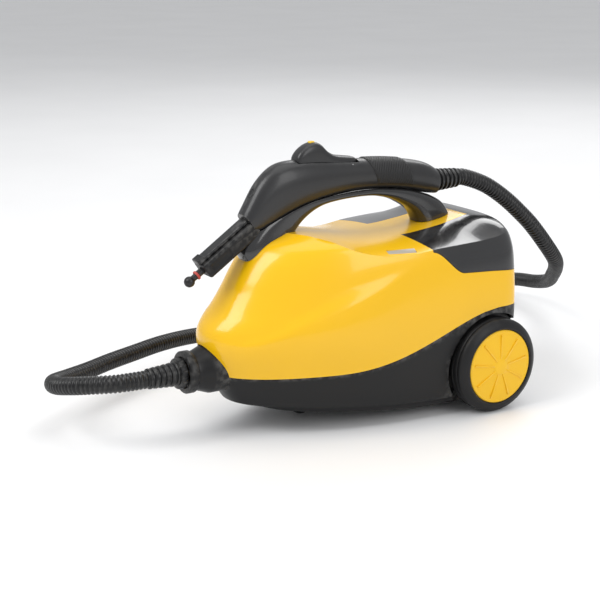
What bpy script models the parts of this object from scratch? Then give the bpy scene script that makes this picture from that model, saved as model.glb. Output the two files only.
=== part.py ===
"""Canister steam cleaner with its steam gun parked on the carrying handle.

The machine stands on the floor at z = 0 with its hose outlet towards -Y.
Lengths that belong to the machine are measured from the rear axle, in the
frame of the empty called "machine". The hose lies free and its route is
given in the world frame.
"""

import math

import bmesh
import bpy
from mathutils import Matrix, Vector

MM = 0.001

# --- overall form of the body, measured from the rear axle -----------------
NOSE_REACH = 321 * MM
TAIL_REACH = 45 * MM
BODY_HALF_WIDTH = 106.5 * MM
CREST_HEIGHT = 217 * MM
GROUND_CLEARANCE = 10 * MM
NOSE_RISE = 13 * MM
AXLE_FROM_CENTRE = 146 * MM
WALL = 2.6 * MM
TOUCH_GAP = 0.3 * MM
STATIONS = 48

# --- running gear ------------------------------------------------------------
WHEEL_RADIUS = 55 * MM
WHEEL_WIDTH = 30 * MM
HUB_RADIUS = 43 * MM
TRACK_HALF = 106 * MM
ARCH_GAP = 5 * MM
AXLE_RADIUS = 4 * MM
CASTER_RADIUS = 15 * MM
CASTER_WIDTH = 13 * MM
CASTER_TRAIL = 10 * MM
CASTER_FROM_AXLE = 205 * MM

# --- lid, tray and filler ----------------------------------------------------
LID_FRONT = 80.6 * MM
LID_CHANNEL_HALF = 34 * MM
LID_CHANNEL_END = 14 * MM
LID_SIDE_HEIGHT = 163 * MM
LID_DROP_START = 66 * MM
LID_GAP = 0.5 * MM
HINGE_RADIUS = 2 * MM
TRAY_FLOOR = 150 * MM
TRAY_DEPTH = 38 * MM
TRAY_WALL = 2 * MM
TRAY_FRONT = 71 * MM
NECK_X = -58 * MM
NECK_Y = -40 * MM
NECK_RADIUS = 15 * MM
NECK_BORE = 10 * MM
NECK_TOP = 172 * MM
CAP_RADIUS = 19 * MM
CAP_HEIGHT = 19 * MM

# --- boiler ------------------------------------------------------------------
BOILER_RADIUS = 50 * MM
BOILER_HALF_LENGTH = 72 * MM
BOILER_Y = -66 * MM
BOILER_Z = 79 * MM
BOILER_WALL = 2 * MM
FLANGE_RADIUS = 56 * MM
FLANGE_THICKNESS = 3 * MM
GASKET_THICKNESS = 2 * MM
BRACKET_WIDTH = 14 * MM
SCREW_RADIUS = 2 * MM
SCREW_HEAD_RADIUS = 4 * MM
SCREW_HEAD_HEIGHT = 1.6 * MM
SCREW_LENGTH = 11 * MM
PLATE_THICKNESS = 3 * MM
PLATE_HALF_WIDTH = 56 * MM
PLATE_FRONT = -44 * MM
PLATE_REAR = 28 * MM

# --- hose outlet at the nose -------------------------------------------------
OUTLET_Z = 74 * MM
COLLAR_LENGTH = 24 * MM
COLLAR_ROOT = 22 * MM
COLLAR_RADIUS = 23.5 * MM
COLLAR_BOSS_RADIUS = 27 * MM
COLLAR_BORE = 12 * MM
COUPLING_RADIUS = 9 * MM
NUT_RADIUS = 17 * MM
NUT_LENGTH = 8 * MM

# --- carrying handle ---------------------------------------------------------
HANDLE_Y = -110 * MM
HANDLE_RISE = 38 * MM
HANDLE_HALF_WIDTH = 15 * MM
HANDLE_FOOT_HALF_WIDTH = 17.5 * MM

# --- steam gun ---------------------------------------------------------------
GUN_TAIL_Y = -12 * MM
GUN_WALL = 2.4 * MM
GUN_CRADLE_GAP = 0.5 * MM
GRIP_SLEEVE = 1.2 * MM
NOZZLE_SLOPE = math.radians(34)
NOZZLE_TIP_RADIUS = 6 * MM
CONNECTOR_LENGTH = 76 * MM
CONNECTOR_HEIGHT = 18 * MM
CONNECTOR_HALF_WIDTH = 13 * MM
LEVER_HALF_WIDTH = 10 * MM
LEVER_GAP = 0.6 * MM
BUTTON_RADIUS = 5 * MM
BUTTON_TILT = math.radians(57)

# --- hose ---------------------------------------------------------------------
HOSE_RADIUS = 10 * MM
SLEEVE_LENGTH = 32 * MM
SLEEVE_RADIUS = 13.5 * MM
HOSE_END_GAP = 1.2 * MM

YELLOW = (0.93, 0.56, 0.01)
BLACK = (0.022, 0.022, 0.024)


# === general helpers =========================================================

def clear_scene():
    """Remove every object that the scene starts with."""
    for obj in list(bpy.data.objects):
        bpy.data.objects.remove(obj, do_unlink=True)


def finish(name, colour, roughness=0.4, metallic=0.0):
    """Make a plain material, or return the one already made."""
    found = bpy.data.materials.get(name)
    if found:
        return found
    made = bpy.data.materials.new(name)
    made.use_nodes = True
    shader = made.node_tree.nodes["Principled BSDF"]
    shader.inputs["Base Color"].default_value = (*colour, 1.0)
    shader.inputs["Roughness"].default_value = roughness
    shader.inputs["Metallic"].default_value = metallic
    return made


def add_object(name, bm, material, parent, location=(0, 0, 0), smooth=35):
    """Turn a bmesh into a named object whose faces point outwards."""
    bmesh.ops.recalc_face_normals(bm, faces=bm.faces)
    mesh = bpy.data.meshes.new(name)
    bm.to_mesh(mesh)
    bm.free()
    mesh.shade_smooth()
    mesh.set_sharp_from_angle(angle=math.radians(smooth))
    if material:
        mesh.materials.append(material)
    obj = bpy.data.objects.new(name, mesh)
    bpy.context.scene.collection.objects.link(obj)
    obj.parent = parent
    obj.location = location
    return obj


def as_cutter(obj):
    """Keep an object out of the build: it only shapes others."""
    obj.hide_render = True
    obj.display_type = "WIRE"
    return obj


def boolean(obj, other, operation="DIFFERENCE", solver="EXACT"):
    """Add a Boolean of the other object; MANIFOLD suits the many thin walls of the tub and gun."""
    modifier = obj.modifiers.new(f"{operation.lower()}_{other.name}", "BOOLEAN")
    modifier.operation = operation
    modifier.solver = solver
    modifier.object = other


def bevel(obj, width, segments=2, angle=35):
    """Round the edges sharper than the angle."""
    modifier = obj.modifiers.new("edge_rounding", "BEVEL")
    modifier.width = width
    modifier.segments = segments
    modifier.limit_method = "ANGLE"
    modifier.angle_limit = math.radians(angle)


def smooth_curve(points):
    """Return a function through the points, smooth and without overshoot."""
    xs = [p[0] for p in points]
    ys = [p[1] for p in points]
    steps = [(ys[i + 1] - ys[i]) / (xs[i + 1] - xs[i]) for i in range(len(xs) - 1)]
    slopes = [steps[0]]
    for before, after in zip(steps, steps[1:]):
        slopes.append(0.0 if before * after <= 0 else (before + after) / 2)
    slopes.append(steps[-1])

    def value(x):
        x = min(max(x, xs[0]), xs[-1])
        i = max(k for k in range(len(xs) - 1) if xs[k] <= x)
        h = xs[i + 1] - xs[i]
        s = (x - xs[i]) / h
        return ((2 * s**3 - 3 * s**2 + 1) * ys[i] + (s**3 - 2 * s**2 + s) * h * slopes[i]
                + (3 * s**2 - 2 * s**3) * ys[i + 1] + (s**3 - s**2) * h * slopes[i + 1])

    return value


def mix(a, b, t):
    return a + (b - a) * t


def ease(t):
    """Smooth step from 0 to 1."""
    t = min(max(t, 0.0), 1.0)
    return t * t * (3 - 2 * t)


def power(value, exponent):
    """Signed power, for superellipses."""
    return math.copysign(abs(value) ** exponent, value)


def loft(rings, cap_first=True, cap_last=True):
    """Skin a list of rings that have the same number of points."""
    bm = bmesh.new()
    loops = [[bm.verts.new(p) for p in ring] for ring in rings]
    count = len(loops[0])
    for low, high in zip(loops, loops[1:]):
        for i in range(count):
            j = (i + 1) % count
            bm.faces.new((low[i], low[j], high[j], high[i]))
    if cap_first:
        bm.faces.new(reversed(loops[0]))
    if cap_last:
        bm.faces.new(loops[-1])
    bmesh.ops.remove_doubles(bm, verts=bm.verts, dist=1e-6)
    bmesh.ops.dissolve_degenerate(bm, edges=bm.edges, dist=1e-7)
    return bm


def turned(profile, steps=32, axis="Z"):
    """Spin a profile of (radius, height) pairs; it closes itself unless it ends on the axis."""
    bm = bmesh.new()
    verts = [bm.verts.new((radius, 0, height)) for radius, height in profile]
    edges = [bm.edges.new(pair) for pair in zip(verts, verts[1:])]
    if profile[0][0] > 0:
        edges.append(bm.edges.new((verts[-1], verts[0])))
    bmesh.ops.spin(bm, geom=verts + edges, cent=(0, 0, 0), axis=(0, 0, 1),
                   angle=math.tau, steps=steps)
    bmesh.ops.remove_doubles(bm, verts=bm.verts, dist=1e-6)
    bmesh.ops.dissolve_degenerate(bm, edges=bm.edges, dist=1e-7)
    turn = {"X": Matrix.Rotation(math.pi / 2, 3, "Y"),
            "Y": Matrix.Rotation(-math.pi / 2, 3, "X"),
            "Z": Matrix.Identity(3)}[axis]
    bmesh.ops.rotate(bm, verts=bm.verts, matrix=turn, cent=(0, 0, 0))
    return bm


def rod(radius, start, end, steps=24, axis="Z", chamfer=0.0):
    """A solid round bar between two heights, with optional chamfers."""
    profile = [(0, start), (radius - chamfer, start), (radius, start + chamfer),
               (radius, end - chamfer), (radius - chamfer, end), (0, end)]
    if not chamfer:
        profile = [(0, start), (radius, start), (radius, end), (0, end)]
    return turned(profile, steps, axis)


def tube(inner, outer, start, end, steps=24, axis="Z"):
    """A plain round ring between two heights."""
    return turned([(inner, start), (outer, start), (outer, end), (inner, end)], steps, axis)


def block(low, high):
    """A box between two corners."""
    bm = bmesh.new()
    low, high = Vector(low), Vector(high)
    bmesh.ops.create_cube(bm, size=1.0)
    bmesh.ops.scale(bm, vec=high - low, verts=bm.verts)
    bmesh.ops.translate(bm, vec=(low + high) / 2, verts=bm.verts)
    return bm


def prism(outline, half_width):
    """A side-view outline of (y, z) points, extruded across X."""
    bm = bmesh.new()
    face = bm.faces.new([bm.verts.new((-half_width, y, z)) for y, z in outline])
    made = bmesh.ops.extrude_face_region(bm, geom=[face])["geom"]
    moved = [item for item in made if isinstance(item, bmesh.types.BMVert)]
    bmesh.ops.translate(bm, vec=(2 * half_width, 0, 0), verts=moved)
    return bm


def ring_between(low, high, half_width, squareness=2.6, count=20):
    """A rounded section whose bottom and top middle points are (y, z) pairs."""
    low, high = Vector((0, *low)), Vector((0, *high))
    centre, rise = (low + high) / 2, (high - low) / 2
    ring = []
    for i in range(count):
        angle = math.tau * i / count
        across = half_width * power(math.cos(angle), 2 / squareness)
        ring.append(centre + rise * power(math.sin(angle), 2 / squareness) + Vector((across, 0, 0)))
    return ring


# === form of the body =========================================================

WIDEST_Y = -15 * MM
front_reach = smooth_curve([(0.04, 0.816), (0.11, 0.88), (0.23, 0.937), (0.35, 0.974), (0.48, 1.0),
                            (0.54, 0.994), (0.59, 0.972), (0.64, 0.942), (0.72, 0.904),
                            (0.81, 0.867), (0.90, 0.822), (0.96, 0.772), (1.0, 0.70)])
half_breadth = smooth_curve([(0.03, 0.885), (0.09, 0.93), (0.23, 0.96), (0.37, 0.988), (0.55, 1.0),
                             (0.76, 0.967), (0.88, 0.93), (0.95, 0.885), (1.0, 0.80)])
tail_reach = smooth_curve([(0.0, 0.90), (0.2, 1.0), (0.76, 1.0), (0.88, 0.95), (0.95, 0.82), (1.0, 0.62)])
shoulder_height = smooth_curve([(-0.74, 1.0), (-0.65, 0.998), (-0.587, 0.968), (-0.52, 0.926),
                                (-0.44, 0.899), (-0.34, 0.894), (-0.24, 0.908), (-0.12, 0.917),
                                (0.0, 0.926), (0.13, 0.955)])
ridge_height = smooth_curve([(-0.74, 1.0), (-0.65, 1.0), (-0.54, 0.978), (-0.44, 0.953), (-0.35, 0.94),
                             (-0.25, 0.938), (-0.14, 0.952), (-0.03, 0.975), (0.06, 0.998), (0.13, 0.99)])
crease_height = smooth_curve([(-1.0, 0.55), (-0.92, 0.535), (-0.85, 0.562), (-0.73, 0.645),
                              (-0.58, 0.733), (-0.45, 0.80), (-0.35, 0.857), (-0.26, 0.894)])


def seam_height(y):
    """Height of the joint line: level along the nose, climbing over the wheels."""
    over_wheel = 2 * WHEEL_RADIUS + ARCH_GAP + 6 * MM
    climb = ease(max(0.0, (y / NOSE_REACH + 0.635) / 0.665) ** 1.25)
    return mix(OUTLET_Z - 6 * MM, over_wheel, climb)


def underside_height(y):
    """The bottom rises a little towards the nose."""
    return GROUND_CLEARANCE + NOSE_RISE * ease((-y / NOSE_REACH - 0.15) / 0.85)


def outline_point(angle, height, inset=0.0):
    """A point of the body's plan outline; angle 0 is the nose and pi the tail."""
    level = height / CREST_HEIGHT
    half_width = BODY_HALF_WIDTH * half_breadth(level) - inset
    sine, cosine = math.sin(angle), math.cos(angle)
    if cosine >= 0:
        reach = -NOSE_REACH * front_reach(level) + inset
        return half_width * power(sine, 2 / 2.15), mix(WIDEST_Y, reach, cosine)
    reach = TAIL_REACH * tail_reach(level) - inset
    return half_width * power(sine, 2 / 6), mix(WIDEST_Y, reach, abs(cosine) ** (2 / 6))


def waist_step(y, height):
    """How far the flank stands proud below the waist crease."""
    along = ease((-y / NOSE_REACH - 0.3) / 0.3) * ease((1.02 + y / NOSE_REACH) / 0.14)
    below = ease((crease_height(y / NOSE_REACH) - height / CREST_HEIGHT) / 0.05)
    fade = ease((height / CREST_HEIGHT - 0.30) / 0.2)
    return 4.2 * MM * along * below * fade


def side_point(angle, level, inset=0.0, low=seam_height, high=None):
    """A point on the flank: level 0 is the low line and 1 the high line."""
    top = high or (lambda y: CREST_HEIGHT * shoulder_height(y / NOSE_REACH))
    height = mix(low(0), top(0), level)
    for _ in range(12):
        x, y = outline_point(angle, height, inset)
        height = mix(low(y), top(y), level)
    step = waist_step(y, height)
    reach = math.hypot(x / BODY_HALF_WIDTH, y / NOSE_REACH) or 1.0
    x += step * x / BODY_HALF_WIDTH / reach
    y += step * min(0.0, y / NOSE_REACH) / reach * 0.4
    return Vector((x, y, height))


def deck_height(x, y, edge):
    """Height of the top between the ridge and the shoulder at (edge, y)."""
    ridge = CREST_HEIGHT * ridge_height(y / NOSE_REACH)
    crown = mix(2.2, 6.0, ease((y / NOSE_REACH + 0.1) / 0.18))
    share = min(abs(x / edge), 1.0) ** crown if abs(edge) > 1e-9 else 1.0
    return mix(ridge, CREST_HEIGHT * shoulder_height(y / NOSE_REACH), share)


def station_angles():
    """Even turns around the plan, closer at the nose and the rear corners."""
    return [math.tau * i / STATIONS for i in range(STATIONS)]


def upper_form(inset=0.0, levels=9, deck_rings=3, drop=0.0):
    """The closed volume of the hood above the seam."""
    def low(y):
        return seam_height(y) - drop

    rings = []
    for k in range(levels):
        rings.append([side_point(a, k / (levels - 1), inset, low) for a in station_angles()])
    rings.insert(0, [Vector((0, p.y, p.z)) for p in rings[0]])
    shoulder = rings[-1]
    for k in range(1, deck_rings + 1):
        narrow = 1 - k / deck_rings
        ring = []
        for point in shoulder:
            x = point.x * narrow
            z = deck_height(x, point.y, point.x) - inset * (1 if k > 1 else 0.8)
            ring.append(Vector((x, point.y, z)))
        rings.append(ring)
    return loft(rings, cap_first=False, cap_last=False)


def lower_form(inset=0.0, rise=0.0):
    """The closed volume of the tub below the seam, with a rounded bottom edge."""
    def bottom(y):
        return underside_height(y) + inset

    def top(y):
        return seam_height(y) + rise

    rings = []
    for sink, lift in ((0.014, 0.0), (0.006, 0.0012), (0.0015, 0.0055)):
        ring = []
        for angle in station_angles():
            x, y = outline_point(angle, GROUND_CLEARANCE, inset + sink)
            ring.append(Vector((x, y, bottom(y) + lift)))
        rings.append(ring)
    spine = [Vector((0, p.y, bottom(p.y))) for p in rings[0]]
    for k in range(4):
        low_line = (lambda y: bottom(y) + 0.012)
        rings.append([side_point(a, k / 3, inset, low_line, top) for a in station_angles()])
    lid = [Vector((0, p.y, p.z)) for p in rings[-1]]
    return loft([spine] + rings + [lid], cap_first=False, cap_last=False)


def lid_outline(gap=0.0):
    """Side view of the lid region: straight front, curved drop, then back along the side."""
    points = [(-LID_FRONT - gap, 0.30), (-LID_FRONT - gap, LID_SIDE_HEIGHT + 0.031)]
    length = LID_FRONT - LID_DROP_START + 0.026
    for k in range(1, 9):
        t = k / 8
        y = -LID_FRONT - gap + length * t
        points.append((y, LID_SIDE_HEIGHT - gap + 0.004 + 0.027 * (1 - ease(t))))
    points.append((0.0, LID_SIDE_HEIGHT - gap + 0.0015))
    points.append((TAIL_REACH + 0.03, LID_SIDE_HEIGHT - gap - 0.0055))
    points.append((TAIL_REACH + 0.03, 0.30))
    return points


def lid_region(name, gap, machine):
    """The volume that the lid takes out of the hood."""
    region = as_cutter(add_object(name, prism(lid_outline(gap), 0.16), None, machine))
    channel = block((-LID_CHANNEL_HALF + gap, -0.2, 0.1),
                    (LID_CHANNEL_HALF - gap, LID_CHANNEL_END - gap, 0.32))
    channel = as_cutter(add_object(f"{name}_channel", channel, None, machine))
    boolean(region, channel)
    return region


# === body =====================================================================

def wheel_wells(machine, grow):
    """Round rooms for both rear wheels, open to the outside."""
    inner = TRACK_HALF - WHEEL_WIDTH / 2 - ARCH_GAP - grow
    radius = WHEEL_RADIUS + ARCH_GAP + grow
    wells = []
    for side, sign in (("left", -1), ("right", 1)):
        start, end = sorted((sign * inner, sign * 2 * BODY_HALF_WIDTH))
        well = add_object(f"well_{side}_{grow:.4f}", rod(radius, start, end, 36, "X"), None, machine,
                          (0, 0, WHEEL_RADIUS))
        wells.append(as_cutter(well))
    return wells


def caster_pocket(machine, grow):
    """The round room that the front caster swings in."""
    radius = CASTER_RADIUS + CASTER_TRAIL + 5 * MM + grow
    top = 2 * CASTER_RADIUS + 9 * MM + grow
    room = add_object(f"caster_room_{grow:.4f}", rod(radius, -10 * MM, top, 24), None, machine,
                      (0, -CASTER_FROM_AXLE, 0))
    return as_cutter(room)


def cutter_rod(name, machine, radius, start, end, axis, location, steps=24):
    return as_cutter(add_object(name, rod(radius, start, end, steps, axis), None, machine, location))


def collar_profile(grow=0.0):
    """Outer half-section of the nose collar as (radius, y)."""
    front = -NOSE_REACH - COLLAR_LENGTH
    return [(COLLAR_RADIUS - 1.5 * MM + grow, front), (COLLAR_RADIUS + grow, front + 1.5 * MM),
            (COLLAR_RADIUS + grow, front + 9 * MM), (COLLAR_RADIUS - 2 * MM + grow, front + 11 * MM),
            (COLLAR_RADIUS - 1.2 * MM + grow, front + 15 * MM),
            (COLLAR_RADIUS + 1.4 * MM + grow, front + 20 * MM),
            (COLLAR_BOSS_RADIUS + grow, front + 28 * MM),
            (COLLAR_BOSS_RADIUS + grow, -NOSE_REACH + COLLAR_ROOT)]


def build_body(machine):
    """Tub, hood, nose collar, badge, gland and lamps."""
    black = finish("moulded_black", BLACK, 0.45)
    yellow = finish("moulded_yellow", YELLOW, 0.28)

    hollow = as_cutter(add_object("tub_hollow", lower_form(WALL, 30 * MM), None, machine))
    for cutter in wheel_wells(machine, WALL) + [caster_pocket(machine, WALL)]:
        boolean(hollow, cutter)
    nose_hole = cutter_rod("nose_hole", machine, COLLAR_BOSS_RADIUS + TOUCH_GAP, -2 * NOSE_REACH,
                           -NOSE_REACH + COLLAR_ROOT + 8 * MM, "Y", (0, 0, OUTLET_Z), 32)
    axle_hole = cutter_rod("axle_hole", machine, AXLE_RADIUS + TOUCH_GAP, -2 * TRACK_HALF, 2 * TRACK_HALF,
                           "X", (0, 0, WHEEL_RADIUS))
    stem_hole = cutter_rod("stem_hole", machine, AXLE_RADIUS + TOUCH_GAP, 0, 60 * MM, "Z",
                           (0, -CASTER_FROM_AXLE, 0))

    tub = add_object("base_tub", lower_form(), black, machine)
    for cutter in ([hollow] + wheel_wells(machine, 0.0)
                   + [caster_pocket(machine, 0.0), nose_hole, axle_hole, stem_hole]):
        boolean(tub, cutter, solver="MANIFOLD")

    inner = as_cutter(add_object("hood_hollow", upper_form(WALL, drop=20 * MM), None, machine))
    hood = add_object("upper_hood", upper_form(drop=-TOUCH_GAP), yellow, machine)
    for cutter in (inner, lid_region("lid_room", LID_GAP, machine), nose_hole):
        boolean(hood, cutter, solver="MANIFOLD")

    collar = [(COLLAR_BORE, -NOSE_REACH + COLLAR_ROOT), (COLLAR_BORE, -NOSE_REACH - COLLAR_LENGTH)]
    add_object("nose_collar", turned(collar + collar_profile(), 32, "Y"), black, machine, (0, 0, OUTLET_Z))

    lid = add_object("rear_lid", upper_form(), finish("gloss_black", BLACK, 0.2), machine)
    boolean(lid, inner, solver="MANIFOLD")
    boolean(lid, lid_region("lid_volume", 0.0, machine), "INTERSECT", "MANIFOLD")
    return tub, hood


def build_lid_hinge(machine):
    """Two leaves on the rear wall and the pin through their knuckles."""
    steel = finish("brushed_steel", (0.6, 0.6, 0.6), 0.3, 1.0)
    black = finish("moulded_black", BLACK, 0.45)
    hinge_y, hinge_z = TAIL_REACH + 3.4 * MM, hinge_height()
    for name, spans, low, high in (
            ("hinge_leaf_hood", ((-7, 7),), hinge_z - 12 * MM, hinge_z),
            ("hinge_leaf_lid", ((-20, -7.4), (7.4, 20)), hinge_z, hinge_z + 12 * MM)):
        back = TAIL_REACH + 1.0 * MM
        plate = block((-20 * MM, TAIL_REACH + TOUCH_GAP, low), (20 * MM, back, high))
        leaf = add_object(name, plate, black, machine)
        for number, (start, end) in enumerate(spans):
            barrel = rod(3 * MM, start * MM, end * MM, 12, "X")
            barrel = as_cutter(add_object(f"{name}_barrel_{number}", barrel, None, machine,
                                          (0, hinge_y, hinge_z)))
            boolean(leaf, barrel, "UNION")
        clear = [(-7.2, 7.2)] if "lid" in name else [(-21, -7.2), (7.2, 21)]
        for number, (start, end) in enumerate(clear):
            room = cutter_rod(f"{name}_room_{number}", machine, 3.5 * MM, start * MM, end * MM, "X",
                              (0, hinge_y, hinge_z), 12)
            boolean(leaf, room)
        boolean(leaf, cutter_rod(f"{name}_bore", machine, HINGE_RADIUS + TOUCH_GAP / 2, -0.03, 0.03, "X",
                                 (0, hinge_y, hinge_z), 12))
    add_object("hinge_pin", rod(HINGE_RADIUS - TOUCH_GAP / 2, -21 * MM, 21 * MM, 12, "X", 0.4 * MM), steel,
               machine, (0, hinge_y, hinge_z))


def hinge_height():
    """The hinge line lies in the joint between lid and hood at the rear wall."""
    return LID_SIDE_HEIGHT - 3.6 * MM


def build_tray(machine):
    """Open tray under the lid, with a hole for the filler neck."""
    black = finish("moulded_black", BLACK, 0.45)
    half = BODY_HALF_WIDTH - 19 * MM
    rear = TAIL_REACH - 13 * MM
    top = TRAY_FLOOR + TRAY_DEPTH
    tray = add_object("storage_tray", block((-half, -TRAY_FRONT, TRAY_FLOOR), (half, rear, top)), black,
                      machine)
    room = block((-half + TRAY_WALL, -TRAY_FRONT + TRAY_WALL, TRAY_FLOOR + TRAY_WALL),
                 (half - TRAY_WALL, rear - TRAY_WALL, top + 0.01))
    boolean(tray, as_cutter(add_object("tray_room", room, None, machine)))
    boolean(tray, cutter_rod("neck_hole", machine, NECK_RADIUS + TOUCH_GAP, 0.1, 0.2, "Z",
                             (NECK_X, NECK_Y, 0)))
    return tray


def build_filler(machine):
    """Neck from the boiler, seal, pressure plug and the grip that turns on it."""
    black = finish("moulded_black", BLACK, 0.45)
    brass = finish("brass", (0.7, 0.5, 0.2), 0.3, 1.0)
    rubber = finish("seal_rubber", (0.03, 0.03, 0.03), 0.8)
    grey = finish("cap_grey", (0.25, 0.25, 0.26), 0.4)
    place = (NECK_X, NECK_Y, 0)
    bottom = neck_bottom()
    add_object("filler_neck", tube(NECK_BORE, NECK_RADIUS, bottom, NECK_TOP, 20), brass, machine, place)
    seal_top = NECK_TOP + 2 * MM
    add_object("filler_seal", tube(NECK_BORE - 2 * MM, NECK_RADIUS - 1 * MM, NECK_TOP + TOUCH_GAP, seal_top,
                                   20),
               rubber, machine, place)
    plug = turned([(0, NECK_TOP - 14 * MM), (NECK_BORE - 3 * MM, NECK_TOP - 14 * MM),
                   (NECK_BORE - 3 * MM, seal_top + TOUCH_GAP), (NECK_RADIUS, seal_top + TOUCH_GAP),
                   (NECK_RADIUS, seal_top + 4 * MM), (0, seal_top + 4 * MM)], 20)
    add_object("cap_plug", plug, grey, machine, place)
    skirt = NECK_RADIUS + 1 * MM
    top = NECK_TOP - 6 * MM + CAP_HEIGHT
    grip = turned([(0, seal_top + 4.3 * MM), (skirt, seal_top + 4.3 * MM), (skirt, NECK_TOP - 6 * MM),
                   (CAP_RADIUS, NECK_TOP - 6 * MM), (CAP_RADIUS, top - 2 * MM), (CAP_RADIUS - 2 * MM, top),
                   (0, top)], 24)
    grip = add_object("cap_grip", grip, black, machine, place)
    bar = block((-CAP_RADIUS + 3 * MM, -3 * MM, top - 1 * MM), (CAP_RADIUS - 3 * MM, 3 * MM, top + 4 * MM))
    boolean(grip, as_cutter(add_object("cap_bar", bar, None, machine, place)), "UNION")


# === boiler ===================================================================

def neck_bottom():
    """The neck starts just inside the boiler's upper wall."""
    return BOILER_Z + math.sqrt(BOILER_RADIUS**2 - (NECK_Y - BOILER_Y)**2) - 8 * MM


def build_boiler(machine):
    """Pressure vessel in two halves with its gasket, heater, switches and saddles."""
    steel = finish("boiler_steel", (0.62, 0.62, 0.62), 0.35, 1.0)
    rubber = finish("seal_rubber", (0.03, 0.03, 0.03), 0.8)
    copper = finish("copper", (0.72, 0.42, 0.27), 0.3, 1.0)
    dark = finish("switch_black", (0.05, 0.05, 0.05), 0.5)
    place = (0, BOILER_Y, BOILER_Z)
    neck = cutter_rod("neck_bore", machine, NECK_RADIUS + TOUCH_GAP, 0.0, 0.2, "Z",
                      (NECK_X, NECK_Y, BOILER_Z))
    leg = 18 * MM
    heater_z = BOILER_Z - 30 * MM
    half_gasket = GASKET_THICKNESS / 2
    for side, sign in (("left", -1), ("right", 1)):
        face = half_gasket + TOUCH_GAP
        end = BOILER_HALF_LENGTH
        wall = BOILER_WALL
        section = [(BOILER_RADIUS - wall, face), (FLANGE_RADIUS, face),
                   (FLANGE_RADIUS, face + FLANGE_THICKNESS),
                   (BOILER_RADIUS, face + FLANGE_THICKNESS), (BOILER_RADIUS, end - 8 * MM),
                   (BOILER_RADIUS - 8 * MM, end), (0, end), (0, end - wall),
                   (BOILER_RADIUS - 8.8 * MM, end - wall), (BOILER_RADIUS - wall, end - 8.8 * MM)]
        # The section is cut at the axis, so the ends meet there.
        section = section[7:] + section[:7]
        half = turned([(r, sign * x) for r, x in section], 28, "X")
        shell = add_object(f"boiler_half_{side}", half, steel, machine, place)
        if side == "left":
            boolean(shell, neck)
        else:
            for number, offset in enumerate((-leg, leg)):
                hole = cutter_rod(f"heater_hole_{number}", machine, 4.3 * MM, 0.02, 0.2, "X",
                                  (0, BOILER_Y + offset, heater_z))
                boolean(shell, hole)
    add_object("boiler_gasket", tube(BOILER_RADIUS - BOILER_WALL, FLANGE_RADIUS, -half_gasket, half_gasket,
                                     28, "X"), rubber, machine, place)

    well_wall = TRACK_HALF - WHEEL_WIDTH / 2 - ARCH_GAP - WALL
    terminal = min(BOILER_HALF_LENGTH + 9 * MM, well_wall - 2 * MM)
    points = [(terminal, -leg)]
    points += [(-30 * MM - leg * math.sin(math.pi * k / 8),
                -leg * math.cos(math.pi * k / 8)) for k in range(9)]
    points += [(terminal, leg)]
    add_wire("heating_element", [(x, BOILER_Y + y, heater_z) for x, y in points], 4 * MM, copper, machine)

    outer = BOILER_HALF_LENGTH + TOUCH_GAP
    add_object("thermostat", rod(11 * MM, outer, outer + 8 * MM, 16, "X", 1 * MM), dark, machine,
               (0, BOILER_Y, BOILER_Z + 18 * MM))
    crown = BOILER_Z + BOILER_RADIUS
    add_object("pressure_switch", rod(9 * MM, crown + TOUCH_GAP, crown + 17 * MM, 16, "Z", 1 * MM), dark,
               machine,
               (40 * MM, BOILER_Y, 0))
    drum = cutter_rod("drum_room", machine, BOILER_RADIUS + TOUCH_GAP, -0.1, 0.1, "X", place, 28)
    floor = GROUND_CLEARANCE + WALL + 1.2 * MM + TOUCH_GAP
    for side, sign in (("left", -1), ("right", 1)):
        x = sign * 48 * MM
        saddle = block((x - BRACKET_WIDTH / 2, BOILER_Y - 34 * MM, floor),
                       (x + BRACKET_WIDTH / 2, BOILER_Y + 34 * MM, BOILER_Z - 30 * MM))
        saddle = add_object(f"boiler_saddle_{side}", saddle, dark, machine)
        boolean(saddle, drum)


def add_wire(name, points, radius, material, parent, resolution=2):
    """A round bar along a polyline, as a curve with filled ends."""
    curve = bpy.data.curves.new(name, "CURVE")
    curve.dimensions = "3D"
    curve.bevel_depth = radius
    curve.bevel_resolution = resolution
    curve.use_fill_caps = True
    spline = curve.splines.new("POLY")
    spline.points.add(len(points) - 1)
    for target, point in zip(spline.points, points):
        target.co = (*point, 1)
    curve.materials.append(material)
    obj = bpy.data.objects.new(name, curve)
    bpy.context.scene.collection.objects.link(obj)
    obj.parent = parent
    return obj


def build_steam_line(machine):
    """Valve and pipes between the boiler and the brass coupling in the nose."""
    copper = finish("copper", (0.72, 0.42, 0.27), 0.3, 1.0)
    brass = finish("brass", (0.7, 0.5, 0.2), 0.3, 1.0)
    dark = finish("switch_black", (0.05, 0.05, 0.05), 0.5)
    valve_rear = BOILER_Y - FLANGE_RADIUS - TOUCH_GAP
    valve_front = valve_rear - 30 * MM
    coupling_rear = -NOSE_REACH + COLLAR_ROOT + 6 * MM
    place = (0, 0, OUTLET_Z)
    valve = block((-14 * MM, valve_front, -16 * MM), (14 * MM, valve_rear, 24 * MM))
    valve = add_object("steam_valve", valve, dark, machine, place)
    bevel(valve, 2 * MM)
    add_object("steam_pipe", rod(4 * MM, coupling_rear + TOUCH_GAP, valve_front - TOUCH_GAP, 16, "Y"),
               copper, machine, place)
    front = -NOSE_REACH - COLLAR_LENGTH - 2 * MM
    add_object("hose_coupling", turned([(0, front), (COUPLING_RADIUS, front),
                                        (COUPLING_RADIUS, coupling_rear - 8 * MM),
                                        (COUPLING_RADIUS + 2 * MM, coupling_rear - 8 * MM),
                                        (COUPLING_RADIUS + 2 * MM, coupling_rear), (0, coupling_rear)], 20,
                                       "Y"),
               brass, machine, place)


# === running gear =============================================================

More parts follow.
